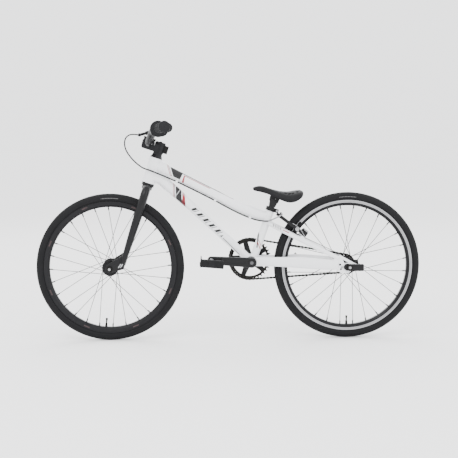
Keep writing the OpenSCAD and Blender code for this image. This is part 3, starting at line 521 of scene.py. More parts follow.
class Shape:
    """Collects the vertices and faces of one piece, in millimetres."""

    def __init__(self):
        self.verts, self.faces = [], []

    def add(self, verts, faces, matrix=None, turned_over=False):
        first = len(self.verts)
        self.verts += [matrix @ Vector(v) if matrix else Vector(v) for v in verts]
        self.faces += [[first + i for i in (reversed(f) if turned_over else f)] for f in faces]
        return self

    def grid(self, rows, loop=True, ends=False, matrix=None):
        """Skins rings of points; loop closes each ring, and ends caps the first and last."""
        n = len(rows[0])
        verts = [p for row in rows for p in row]
        faces = []
        for i in range(len(rows) - 1):
            for k in range(n if loop else n - 1):
                a, b = i * n + k, i * n + (k + 1) % n
                faces.append([a, b, b + n, a + n])
        if ends:
            faces.append(list(range(n))[::-1])
            faces.append([(len(rows) - 1) * n + k for k in range(n)])
        return self.add(verts, faces, matrix)

    def sweep(self, line, sides, start_side=(0, 1, 0)):
        """A solid tube along x, y, z, half height, half width stations."""
        side, rows = Vector(start_side), []
        for i, p in enumerate(line):
            before = Vector(line[max(i - 1, 0)][:3])
            after = Vector(line[min(i + 1, len(line) - 1)][:3])
            ahead = (after - before).normalized()
            side = (side - side.dot(ahead) * ahead).normalized()
            up = ahead.cross(side)
            rows.append([Vector(p[:3]) + side * p[4] * cos(a) + up * p[3] * sin(a)
                         for a in (2 * pi * k / sides for k in range(sides))])
        return self.grid(rows, ends=True)

    def lathe(self, outline, sides, matrix=None, closed=False, shape=None):
        """Turns an outline of (radius, height) round Z; shape(radius, height, angle) may alter it."""
        rows = []
        for k in range(sides):
            a = 2 * pi * k / sides
            ring = [shape(r, h, k) if shape else (r, h) for r, h in outline]
            rows.append([(r * cos(a), r * sin(a), h) for r, h in ring])
        n, verts = len(outline), [p for row in rows for p in row]
        faces = []
        for i in range(sides):
            for k in range(n if closed else n - 1):
                a, b = i * n + k, i * n + (k + 1) % n
                c, d = (b + n) % (n * sides), (a + n) % (n * sides)
                faces.append([a, d, c, b])
        if not closed:
            faces.append([i * n for i in range(sides)][::-1])
            faces.append([i * n + n - 1 for i in range(sides)])
        return self.add(verts, faces, matrix)

    def block(self, low, high, round_by, matrix=None, segments=2):
        """A box from low to high with rounded edges."""
        made = bmesh.new()
        bmesh.ops.create_cube(made, size=1)
        low, high = Vector(low), Vector(high)
        for v in made.verts:
            v.co = Vector((low[i] + (high[i] - low[i]) * (v.co[i] + 0.5) for i in range(3)))
        bmesh.ops.bevel(made, geom=made.edges[:], offset=round_by, segments=segments,
                        affect="EDGES", profile=0.5)
        return self.take(made, matrix)

    def prism(self, outline, low, high, round_by, matrix=None):
        """A flat outline in X-Z standing from Y low to high, with rounded edges."""
        made = bmesh.new()
        near = [made.verts.new((x, high, z)) for x, z in outline]
        far = [made.verts.new((x, low, z)) for x, z in outline]
        made.faces.new(near)
        made.faces.new(far[::-1])
        for i in range(len(outline)):
            j = (i + 1) % len(outline)
            made.faces.new((near[i], far[i], far[j], near[j]))
        bmesh.ops.recalc_face_normals(made, faces=made.faces[:])
        flat = [e for e in made.edges if abs(e.verts[0].co.y - e.verts[1].co.y) < 1e-6]
        bmesh.ops.bevel(made, geom=flat, offset=round_by, segments=2, affect="EDGES", profile=0.5)
        return self.take(made, matrix)

    def rod(self, a, b, radius, sides=24, round_by=0.0, turn=None):
        """A round bar from a to b with eased ends; turn places both points."""
        a, b = (turn @ Vector(p) if turn else Vector(p) for p in (a, b))
        length = (b - a).length
        matrix = Matrix.Translation(a) @ (b - a).to_track_quat("Z", "X").to_matrix().to_4x4()
        e = round_by
        outline = [(radius, 0), (radius, length)] if not e else [
            (radius - e, 0), (radius - e * 0.3, e * 0.3), (radius, e),
            (radius, length - e), (radius - e * 0.3, length - e * 0.3), (radius - e, length)]
        return self.lathe(outline, sides, matrix)

    def take(self, made, matrix=None):
        made.verts.index_update()
        self.add([v.co.copy() for v in made.verts], [[v.index for v in f.verts] for f in made.faces],
                 matrix)
        made.free()
        return self

    def mirrored(self):
        """Adds the same shape on the other side of the bike."""
        count = len(self.faces)
        return self.add([flip(v) for v in self.verts], self.faces[:count], turned_over=True)

    def piece(self, name, material, sharp=40, subdivide=0):
        mesh = bpy.data.meshes.new(name)
        mesh.from_pydata([v * MM for v in self.verts], [], self.faces)
        made = bmesh.new()
        made.from_mesh(mesh)
        bmesh.ops.recalc_face_normals(made, faces=made.faces[:])
        made.to_mesh(mesh)
        made.free()
        mesh.shade_smooth()
        mesh.set_sharp_from_angle(angle=radians(sharp))
        mesh.materials.append(material)
        obj = bpy.data.objects.new(name, mesh)
        bpy.context.scene.collection.objects.link(obj)
        if subdivide:
            level = obj.modifiers.new("subdivide", "SUBSURF")
            level.levels = level.render_levels = subdivide
            bake_modifiers(obj)
        return obj


def bake_modifiers(obj):
    """Replaces an object's mesh with its modified mesh."""
    graph = bpy.context.evaluated_depsgraph_get()
    mesh = bpy.data.meshes.new_from_object(obj.evaluated_get(graph))
    obj.modifiers.clear()
    old = obj.data
    obj.data = mesh
    bpy.data.meshes.remove(old)


def cut(obj, cutters, sharp=40):
    """Takes other shapes away from a piece."""
    for cutter in cutters:
        tool = cutter.piece("cutter", obj.data.materials[0])
        away = obj.modifiers.new("cut", "BOOLEAN")
        away.operation, away.solver, away.object = "DIFFERENCE", "EXACT", tool
        bake_modifiers(obj)
        bpy.data.objects.remove(tool)
    obj.data.shade_smooth()
    obj.data.set_sharp_from_angle(angle=radians(sharp))
    return obj


def stand_for(obj, node, body=None):
    """obj takes a CAD node's place and rides on its body."""
    if body is None:
        body = nodes[node]["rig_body"]
    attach(obj, body)
    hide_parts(node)
    return obj


# ---------------------------------------------------------------- frame tubes

TOP_STATIONS = [(262, 0, 616, 21, 19), (205, 0, 587.5, 20, 18), (57, 0, 512, 18, 17),
                (14, 0, 488.5, 17.5, 17), (-31, 0, 466, 19, 16.5), (-73, 0, 449, 20, 15),
                (-111, 0, 436, 18, 13), (-138, 0, 432, 16, 12)]
DOWN_STATIONS = [(276, 0, 570, 19, 19), (240, 0, 566, 20, 19.5), (210, 0, 540, 19, 19),
                 (176, 0, 510, 17.8, 18.5), (149, 0, 485, 16.5, 18),
                 (37, 0, 380.8, 15, 18), (-75, 0, 276.5, 13.8, 18)]
SEAT_STAY_STATIONS = [(-133, 8, 412, 8.5, 7.5), (-165, 23, 395, 8.5, 7.5),
                      (-200, 32, 377.5, 8.5, 7.5), (-255, 43, 349.5, 8.5, 7),
                      (-315, 55.5, 319, 8, 6.5), (-378, 57.5, 288, 7, 6)]
CHAIN_STAY_STATIONS = [(-78, 24, 275.5, 15.5, 9), (-120, 28, 275, 16, 8.5),
                       (-165, 33, 274.5, 16.5, 8), (-248, 44, 272.5, 19.5, 8),
                       (-324, 55, 267, 18.5, 6.5), (-376, 57.5, 264, 16, 5.5)]
SHELL_AT, SHELL_R = Vector((-75, 0, 276.5)), 20
SEAT_FOOT = Vector((-83, 0, 276.5))
SEAT_UP = Vector((-0.333807, 0, 0.942641))
SEAT_R = 13.5
HEAD_R, HEAD_HALF = 22, 45


def head_block():
    return Shape().rod(STEER_AT - STEER_AXIS * HEAD_HALF, STEER_AT + STEER_AXIS * HEAD_HALF,
                       HEAD_R - 0.3, 64)


def seat_block():
    return Shape().rod(SEAT_FOOT, SEAT_FOOT + SEAT_UP * 197, SEAT_R - 0.3, 48)


def shell_block():
    return Shape().rod(SHELL_AT + Vector((0, -40, 0)), SHELL_AT + Vector((0, 40, 0)),
                       SHELL_R - 0.3, 64)


def frame_tubes():
    paint = white_paint("top_tube_paint", top_graphics)
    top = Shape().sweep(smooth(TOP_STATIONS, 8), 56).piece("top_tube_skin", paint)
    stand_for(cut(top, [head_block(), seat_block()]), "top_tube")
    paint = white_paint("down_tube_paint", down_graphics)
    down = Shape().sweep(smooth(DOWN_STATIONS, 8), 56).piece("down_tube_skin", paint)
    stand_for(cut(down, [head_block(), shell_block()]), "down_tube")
    stays = Shape().sweep(smooth(CHAIN_STAY_STATIONS, 8), 40).mirrored()
    stays.rod((-133, -20.5, 275), (-133, 20.5, 275), 7, 32)
    chain_stays = stays.piece("chain_stay_pair", white_paint("chain_stay_paint"))
    stand_for(cut(chain_stays, [shell_block()]), "chain_stays")
    upper = Shape().sweep(smooth(SEAT_STAY_STATIONS, 8), 40).mirrored()
    upper.rod((-166, -18, 396), (-166, 18, 396), 6.5, 32)
    seat_stays = upper.piece("seat_stay_pair", white_paint("seat_stay_paint", stay_graphics))
    stand_for(cut(seat_stays, [seat_block()]), "seat_stays")


def brake_studs(steel, paint):
    seat = Shape()
    studs = Shape()
    at = BRAKE
    for y in (-41, 41):
        seat.rod((0, y, 4), (0, y, 14), 7, 32, 0.6, turn=at)
        studs.rod((0, y, 13.9), (0, y, 33.4), 3.95, 24, turn=at)
        studs.rod((0, y, 33.3), (0, y, 37), 6.2, 24, 0.8, turn=at)
    for obj, slot in ((seat.piece("brake_boss_pair", paint), "frame_paint"),
                      (studs.piece("brake_stud_pair", steel), "bright_steel")):
        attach(obj, "frame")


# ---------------------------------------------------------------- wheels


def wheel_frame(hub):
    """Turns a lathe's Z axis onto the axle, so that angles run as seen from the left side."""
    return Matrix.Translation(hub) @ spin(90, "X")


SPOKES = 28
SECTION_R = 16.5
SECTION_C = TYRE_R - SECTION_R
RIM_EDGE_R = SECTION_C - 10


def tyre(hub, node, name):
    """A slick race tyre: grooved tread, a moulded line on each side and beads in the rim."""
    outer = []
    for step in range(-42, 43):
        a = step * 2.8
        r = SECTION_R
        if 96 < abs(a) < 101:
            r += 0.45
        if abs(a) > 112:
            r -= 0.35
        outer.append((SECTION_C + r * cos(radians(a)), r * sin(radians(a)), a))
    lip = [(1.9, 13.2), (0.9, 12.3), (0.4, 10.1), (-5, 10), (-5, 8.5), (0.6, 8.5)]
    inner = [(SECTION_C + 14.2 * cos(radians(a)), 14.2 * sin(radians(a)), 180)
             for a in range(126, -127, -14)]
    outline = outer + [(RIM_EDGE_R + r, y, 180) for r, y in lip] + inner
    outline += [(RIM_EDGE_R + r, -y, 180) for r, y in reversed(lip)]
    tread = {i: abs(p[2]) for i, p in enumerate(outline) if abs(p[2]) < 58}
    place = {(p[0], p[1]): i for i, p in enumerate(outline)}

    def shape(r, y, k):
        """Cross grooves on the shoulders, and a groove on each side of the middle rib."""
        i = place[(r, y)]
        a = tread.get(i)
        if a is None:
            return r, y
        deep = 0.0
        if 22 < a < 56 and (k + (1 if y > 0 else 0)) % 3 == 0:
            deep = 0.9
        if 8 < a < 14:
            deep = 0.5
        turn = radians(a)
        return r - deep * cos(turn), y - copysign(deep, y) * sin(turn)

    obj = Shape().lathe([(p[0], p[1]) for p in outline], 540, wheel_frame(hub), True, shape)
    made = obj.piece(name, tyre_rubber(name + "_rubber", hub), 30)
    stand_for(made, node)


def nipples_and_valve(hub, body, prefix, angle, metal, dark):
    """Spoke nipples, the valve's cap and its lock ring."""
    turn = wheel_frame(hub)
    nipples, valve = Shape(), Shape()
    for k in range(SPOKES):
        a = radians(angle + 360 / SPOKES * (k + 0.5))
        out = Vector((cos(a), sin(a), 0))
        side = Vector((0, 0, -3 if k % 2 == 0 else 3))
        nipples.rod(turn @ (out * 202 + side), turn @ (out * 210.4 + side), 2.1, 8, 0.3)
    a = radians(angle)
    out = Vector((cos(a), sin(a), 0))
    valve.rod(turn @ (out * 206), turn @ (out * 210.4), 4.4, 24, 0.8)
    cap = Shape().rod(turn @ (out * 180.5), turn @ (out * 189), 3.6, 20, 0.7)
    for obj, slot in ((nipples.piece(prefix + "_nipples", metal), "black_alloy"),
                      (valve.piece(prefix + "_valve_ring", metal), "bright_steel"),
                      (cap.piece(prefix + "_valve_cap", dark), "black_resin")):
        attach(obj, body)


# ---------------------------------------------------------------- handlebar, grips and lever


def steer_frame():
    """Local Z up the steering axis and local X ahead of it, from mid head tube."""
    z = STEER_AXIS
    y = Vector((0, 1, 0))
    return Matrix.Translation(STEER_AT) @ Matrix((y.cross(z), y, z)).transposed().to_4x4()


BAR_AT = steer_frame() @ Vector((40.6, 0, 86.2))
BAR_R = 11.1
BAR_END = BAR_AT + Vector((-62, 345, 55))
BAR_RISE = BAR_AT + Vector((-16, 115, 41))
BAR_LOW = BAR_AT + Vector((0, 48, 0))
BAR_DIR = (BAR_END - BAR_RISE).normalized()
GRIP_ROOT = BAR_RISE + BAR_DIR * ((230 - BAR_RISE.y) / BAR_DIR.y)


def mirror_y(v):
    return Vector((v.x, -v.y, v.z))


def rounded(path, bend, steps):
    """The path with each corner eased to an arc of that radius."""
    line = [Vector(path[0])]
    for before, at, after in zip(path, path[1:], path[2:]):
        before, at, after = Vector(before), Vector(at), Vector(after)
        d0, d1 = (at - before).normalized(), (after - at).normalized()
        angle = d0.angle(d1)
        lead = bend * tan(angle / 2)
        inward = (d1 - d0).normalized()
        centre = at + inward * (bend / cos(angle / 2))
        first = at - d0 * lead - centre
        axis = d0.cross(d1)
        for k in range(steps + 1):
            line.append(centre + Matrix.Rotation(angle * k / steps, 3, axis) @ first)
    return line + [Vector(path[-1])]


def handlebar():
    path = [mirror_y(BAR_END), mirror_y(BAR_RISE), mirror_y(BAR_LOW), BAR_LOW, BAR_RISE, BAR_END]
    line = [(*p, BAR_R, BAR_R) for p in rounded(path, 45, 14)]
    bar = Shape().sweep(line, 40, (1, 0, 0)).piece("handlebar_tube", BLACK, 60)
    stand_for(bar, "handlebar")


def grip_piece(name, node, left, material):
    """A ribbed grip with a flange, a gathered collar and grooves between its ribs."""
    hold = (BAR_END - GRIP_ROOT).length + 1.8
    outline = [(BAR_R + 0.35, 0), (25.6, 0), (26.7, 0.6), (27, 2), (26.7, 3.4), (25, 4.1),
               (22, 4.4), (19, 6.2), (16.6, 7.4), (15.2, 9)]
    for k in range(12):
        z = 10 + k * 8.2
        outline += [(15.1, z - 0.3), (15.9, z + 0.3), (16.3, z + 1.1), (16.3, z + 4.1),
                    (15.9, z + 4.9), (15.1, z + 5.5)]
    outline += [(15.4, hold - 9.4), (17.4, hold - 9), (18.5, hold - 7.8), (18.5, hold - 2.4),
                (17.9, hold - 1), (16.4, hold), (0.6, hold), (0.6, hold - 1.6),
                (BAR_R + 0.35, hold - 1.6)]

    def shape(r, h, k):
        """Ribs broken into small pads round the grip, and flutes on the collar."""
        if r > 16.2 and 9.6 < h < hold - 10 and k % 8 == 0:
            return r - 1.1, h
        if r > 18.4 and h > hold - 8.5 and k % 6 == 0:
            return r - 0.7, h
        return r, h

    root = GRIP_ROOT if left else mirror_y(GRIP_ROOT)
    ahead = BAR_DIR if left else mirror_y(BAR_DIR)
    matrix = Matrix.Translation(root) @ ahead.to_track_quat("Z", "X").to_matrix().to_4x4()
    obj = Shape().lathe(outline, 96, matrix, True, shape).piece(name, material, 35)
    stand_for(obj, node)


def lever_frame():
    """Local X ahead of the bar and local Y inboard along it, at the right-hand lever."""
    y = -mirror_y(BAR_DIR)
    ahead = Vector((cos(radians(14)), 0, -sin(radians(14))))
    x = (ahead - ahead.dot(y) * y).normalized()
    z = x.cross(y)
    at = mirror_y(BAR_RISE + BAR_DIR * 66)
    return Matrix.Translation(at) @ Matrix((x, y, z)).transposed().to_4x4()


def brake_lever():
    """Clamp, body and cable stop of the brake lever, and its curved two-finger blade."""
    turn = lever_frame()
    on_bar = turn @ Matrix.Translation((0, 9, 0)) @ spin(90, "X")
    body = Shape()
    body.lathe([(BAR_R + 0.1, 0), (14.6, 0), (15.5, 0.9), (15.5, 17.1), (14.6, 18),
                (BAR_R + 0.1, 18)], 64, on_bar, True)
    body.block((13, -7, -7), (40, 7, 7), 1.6, turn)
    body.block((36, -7, 4.6), (47, 5, 7), 1.0, turn)
    body.block((36, -7, -7), (47, 5, -4.6), 1.0, turn)
    body.block((36, -6.8, -5), (74, 7, 5), 1.8, turn)
    body.block((36, -16, 4.5), (46, -4, 6.9), 1.0, turn)
    body.block((36, -16, -6.9), (46, -4, -4.5), 1.0, turn)
    barrel = Shape()
    on_stop = turn @ Matrix.Translation((67, 5, 0)) @ spin(-90, "X")
    outline = [(3.1, 0), (4.6, 0), (4.6, 7), (6.0, 7.6), (6.2, 8.2), (6.2, 15.4), (5.6, 16),
               (4.5, 16.6), (4.2, 20), (3.6, 21), (3.1, 21)]
    barrel.lathe(outline, 48, on_stop, True,
                 lambda r, h, k: (r - 0.5 if r > 6.1 and k % 4 == 0 else r, h))
    screws = Shape().rod((38, -12, -7.4), (38, -12, 7.4), 2.9, 24, 0.6, turn=turn)
    screws.rod((24, 0, 6.6), (24, 0, 8.4), 3.4, 24, 0.5, turn=turn)
    piece = body.piece("brake_lever_body", BLACK)
    stand_for(piece, "brake_lever_bracket")
    for obj, slot in ((barrel.piece("brake_lever_adjuster", ALLOY), "black_alloy"),
                      (screws.piece("brake_lever_screws", STEEL), "bright_steel")):
        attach(obj, "fork")
    line = smooth([(37, -10, 0, 3.8, 6.8), (43, -16, 0, 3.8, 6.4), (50.5, -26, 0, 3.9, 5.4),
                   (53.5, -40, 0, 3.9, 4.8), (54.2, -56, 0, 3.8, 4.4), (52, -78, 0, 3.7, 4.1),
                   (49, -96, 0, 3.8, 4.0), (48.5, -101, 0, 4.0, 4.6)], 6)
    rows = []
    for i, p in enumerate(line):
        before, after = line[max(i - 1, 0)], line[min(i + 1, len(line) - 1)]
        ahead = Vector((after[0] - before[0], after[1] - before[1], 0)).normalized()
        side = Vector((ahead.y, -ahead.x, 0))
        rows.append([Vector(p[:3]) + side * p[4] * copysign(abs(cos(a)) ** 0.75, cos(a))
                     + Vector((0, 0, p[3])) * copysign(abs(sin(a)) ** 0.6, sin(a))
                     for a in (2 * pi * k / 32 for k in range(32))])
    blade = Shape().grid(rows, ends=True, matrix=turn)
    tip = turn @ Matrix.Translation((48.5, -101, 0))
    ball = [(0.05 if abs(a) == 90 else 5.5 * cos(radians(a)), 4.2 * sin(radians(a)))
            for a in range(-90, 91, 10)]
    blade.lathe(ball, 32, tip)
    blade.rod((38, -12, -4), (38, -12, 4), 8, 40, 0.8, turn=turn)
    stand_for(blade.piece("brake_lever_blade", BLACK), "brake_lever")


CABLE_ROUTE = [(318.2, -166.2, 716.6), (333, -144, 719), (350, -115, 717), (362, -86, 705),
               (364, -58, 684), (356, -34, 661), (339, -12, 638), (319, 8, 619),
               (297, 23, 604), (272, 28, 595), (229, 26, 577), (182, 20, 556),
               (119, 17, 525), (49, 17, 489), (15, 17, 470), (-31, 17, 446),
               (-72, 16, 428), (-99, 16, 419.5), (-122, 20, 416.5), (-137, 25, 417)]


def cable():
    """The brake cable's housing, in place of the CAD cable."""
    line = [(*p, 2.5, 2.5) for p in smooth(CABLE_ROUTE, 9)]
    obj = Shape().sweep(line, 24).piece("brake_cable_housing", SHEATH, 60)
    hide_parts("brake_cable")
    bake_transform(obj)


# ---------------------------------------------------------------- fork


def fork_leg(name, node, left):
    """A tapered fork leg growing out of the crown, with its dropout plate."""
    turn = steer_frame()
    if not left:
        turn = OTHER_SIDE @ turn
    axle = turn.inverted() @ (FRONT_HUB if left else mirror_y(FRONT_HUB))
    top, foot = Vector((0, 46, -70)), Vector((0, 57, axle.z + 20))
    path = [top - Vector((0, 38, -8)), top, top + (foot - top) * 0.16]
    bent = rounded(path, 26, 8)[:-1]
    stations = [(*p, 14, 14) for p in bent]
    stations += [(*(top + (foot - top) * f), r, r) for f, r in
                 ((0.22, 14), (0.35, 13.9), (0.5, 13), (0.7, 11.3), (0.85, 9.6), (1, 8))]
    leg = Shape().sweep([(*(turn @ Vector(p[:3])), p[3], p[4]) for p in stations], 48)
    t, s = axle.x, axle.z
    outline = [(-9, s + 50), (8, s + 60), (t + 10, s + 13), (t + 13, s + 2), (t + 10.5, s - 8),
               (t + 3, s - 12.8), (t - 8, s - 11), (-9, s + 14)]
    leg.prism(outline, 50.3, 55.3, 1.0, turn)
    stand_for(leg.piece(name, FORK_PAINT, 40), node)


# ---------------------------------------------------------------- saddle

SADDLE = [(-84.5, 5.5, 533, 526.5), (-88, 10, 534.5, 522.5), (-96, 13, 537, 520.5),
          (-112, 17, 538.3, 517), (-135, 20, 533, 510), (-158, 29, 526, 501),
          (-180, 42, 520.5, 490), (-205, 55, 518.5, 482.5), (-228, 61, 521.5, 486),
          (-246, 55, 523.5, 496), (-254.5, 42, 521.8, 503.5), (-258, 30, 519, 510)]


# each recess in the saddle's wings: x, distance from the centre plane, radius
SADDLE_RECESSES = [(-197, 33, 6.5), (-209, 38, 6.5), (-221, 40, 5.5), (-236, 33, 6)]


def recess_depth(x, y):
    """How far the saddle's top sinks at a point, in flat-bottomed round recesses."""
    depth = 0
    for cx, cy, radius in SADDLE_RECESSES:
        near = hypot(x - cx, abs(y) - cy) / radius
        depth = max(depth, 2.8 * min(1, 1.8 * max(0, 1 - near ** 2)))
    return depth


def saddle_cover():
    """The saddle's padded cover, with round recesses on each wing and rounded skirts."""
    rows = []
    steps = 96
    for x, w, top, low in smooth(SADDLE, 16):
        thick = min(4.4, w * 0.5)
        outer, inner = [], []
        for k in range(steps + 1):
            a = pi * k / steps
            y = w * cos(a)
            z = low + (top - low) * sin(a) ** 0.72
            z -= 1.6 * exp(-(y / 7) ** 2) * max(0, min(1, (-x - 120) / 30))
            z -= recess_depth(x, y) if abs(y) < w * 0.93 else 0
            outer.append((x, y, z))
            shrink = 1 - thick / w
            zi = low + (top - thick * 1.1 - low) * sin(a) ** 0.72
            inner.append((x, y * shrink, min(zi, z - 1.2) if 0 < k < steps else low + 0.3))
        rows.append(outer + inner[::-1])
    obj = Shape().grid(rows, ends=True).piece("saddle_cover_shell", SKIN, 50)
    stand_for(obj, "saddle_pad")


# ---------------------------------------------------------------- cranks, pedals and chain

CRANK = Matrix.Translation(SHELL_AT) @ spin(-4, "Y")
OTHER_ARM = CRANK @ spin(180, "Y") @ OTHER_SIDE
CHAIN_Y = -44
PITCH = 12.7
RING_TEETH, COG_TEETH, LINKS = 36, 16, 80


def strap(r1, r2, d, at=0.0, steps=14):
    """Outline of a bar with round ends of radius r1 at x = at and r2 a distance d further."""
    b = acos((r1 - r2) / d)
    first = [(at + r1 * cos(a), r1 * sin(a))
             for a in (b + (2 * pi - 2 * b) * k / steps for k in range(steps + 1))]
    last = [(at + d + r2 * cos(a), r2 * sin(a))
            for a in (-b + 2 * b * k / steps for k in range(steps + 1))]
    return first + last


def crank_arm(name, node, turn, spider):
    """A forged arm with a shallow pocket; the right one carries the chainring's spider."""
    arm = Shape().prism(strap(17.5, 13.5, 140), 60.5, 73.5, 2.4, turn)
    if spider:
        arm.rod((0, -60.6, 0), (0, -45.1, 0), 19, 48, 0.8, turn=CRANK)
        for k in range(5):
            a = radians(216 + 72 * k)
            leaf = CRANK @ Matrix.Rotation(-a, 4, "Y")
            arm.prism(strap(13, 8.5, 55), CHAIN_Y - 6, CHAIN_Y - 2, 0.7, leaf)
    obj = arm.piece(name, BLACK, 35)
    pocket = Shape().prism(strap(8, 6.5, 90, 26), 71.6, 76, 0.6, turn)
    socket = Shape().rod((0, 72.1, 0), (0, 76, 0), 9.2, 40, turn=turn)
    stand_for(cut(obj, [pocket, socket], 35), node)


def pedal(name, node, hub, left):
    """A platform pedal: caged rails with windows, webs, barrel and traction pins."""
    tilt = -5 if left else 3
    turn = Matrix.Translation((hub.x, 0, hub.z)) @ spin(tilt, "Y")
    if not left:
        turn = OTHER_SIDE @ turn
    body = Shape()
    end = [(-40, -8), (-38, -11.5), (-34.5, -13.5), (34.5, -13.5), (38, -11.5), (40, -8),
           (40, 8), (38, 11.5), (34.5, 13.5), (-34.5, 13.5), (-38, 11.5), (-40, 8)]
    body.prism(end, 79, 86, 1.3, turn)
    body.prism(end, 167, 174, 1.3, turn)
    for x in (-40, 33):
        body.block((x, 85, 6), (x + 7, 168, 13), 1.4, turn)
        body.block((x, 85, -13), (x + 7, 168, -6), 1.4, turn)
        for y in (85, 103, 121.5, 140, 158):
            body.block((x + 0.8, y, -8), (x + 6.2, y + 10, 8), 1.0, turn)
    for y in (105, 139):
        body.block((-36, y, -10), (36, y + 7, 10), 1.6, turn)
    on_spindle = turn @ Matrix.Translation((0, 78, 0)) @ spin(-90, "X")
    body.lathe([(6.5, 0), (10, 0), (11, 1.2), (11, 27), (9.6, 32), (9.6, 56), (11, 61), (11, 94.6),
                (9.8, 96), (3, 96), (3, 93), (6.5, 92)], 48, on_spindle, True)
    obj = body.piece(name, RESIN, 35)
    holes = [Shape().prism(strap(6.8, 6.8, 12, s * 22 - 6), y0, y0 + 5, 0.4, turn)
             for s in (-1, 1) for y0 in (76.6, 171.4)]
    stand_for(cut(obj, holes, 35), node)
    pins = Shape()
    for x in (-36.5, 36.5):
        for y in (90, 122, 163):
            pins.rod((x, y, -15.5), (x, y, 15.5), 1.6, 12, 0.4, turn=turn)
    made = pins.piece(name + "_pins", RESIN)
    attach(made, nodes[node]["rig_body"])


def chain_places():
    """Centres of the chain's rollers, counted from the top of the chainring."""
    ring_r = PITCH / (2 * sin(pi / RING_TEETH))
    cog_r = PITCH / (2 * sin(pi / COG_TEETH))
    reach = SHELL_AT - REAR_HUB
    span = hypot(reach.x, reach.z)
    back = pi + atan2(reach.z, reach.x)
    lean = asin((ring_r - cog_r) / span)
    upper, lower = back - pi / 2 + lean, back + pi / 2 - lean
    run = span * cos(lean) / PITCH
    on_cog = (pi - 2 * lean) * COG_TEETH / (2 * pi)
    ring, cog = Vector((SHELL_AT.x, 0, SHELL_AT.z)), Vector((REAR_HUB.x, 0, REAR_HUB.z))

    def turned(r, a):
        return Vector((r * cos(a), 0, r * sin(a)))

    def place(s):
        if s < run:
            return ring + turned(ring_r, upper) + turned(s * PITCH, upper + pi / 2)
        s -= run
        if s < on_cog:
            return cog + turned(cog_r, upper + s * 2 * pi / COG_TEETH)
        s -= on_cog
        if s < run:
            return cog + turned(cog_r, lower) + turned(s * PITCH, lower + pi / 2)
        return ring + turned(ring_r, lower + (s - run) * 2 * pi / RING_TEETH)

    return [place(k) for k in range(LINKS)]


def chain():
    """Every link: waisted plates, inner and outer in turn, with rollers and riveted pins."""
    centres = chain_places()
    plate = []
    for x, side in ((0, 1), (PITCH, -1)):
        for k in range(9):
            a = side * pi / 2 + pi * k / 8
            plate.append((x + 3.8 * cos(a), 3.8 * sin(a)))
        plate += ([(3.6, -2.7), (PITCH / 2, -2.35), (PITCH - 3.6, -2.7)] if x == 0 else
                  [(PITCH - 3.6, 2.7), (PITCH / 2, 2.35), (3.6, 2.7)])
    links = Shape()
    for k, at in enumerate(centres):
        ahead = centres[(k + 1) % LINKS] - at
        turn = Matrix.Translation(at + Vector((0, CHAIN_Y, 0))) \
            @ Matrix.Rotation(-atan2(ahead.z, ahead.x), 4, "Y")
        off = 1.7 if k % 2 == 0 else 2.75
        for low in (off, -off - 1):
            n = len(plate)
            verts = [(x, low, z) for x, z in plate] + [(x, low + 1, z) for x, z in plate]
            faces = [[i, (i + 1) % n, (i + 1) % n + n, i + n] for i in range(n)]
            links.add(verts, faces + [list(range(n))[::-1], list(range(n, 2 * n))], turn)
        links.rod((0, -1.65, 0), (0, 1.65, 0), 3.85, 16, turn=turn)
        links.rod((0, -4.1, 0), (0, 4.1, 0), 1.75, 10, 0.3, turn=turn)
    stand_for(links.piece("chain_links", OILED, 35), "chain")


# ---------------------------------------------------------------- rear brake

BRAKE = Matrix.Translation((-248, 0, 353)) @ spin(-37, "Y")
FLAT = Matrix(((1, 0, 0, 0), (0, 0, 1, 0), (0, 1, 0, 0), (0, 0, 0, 1)))


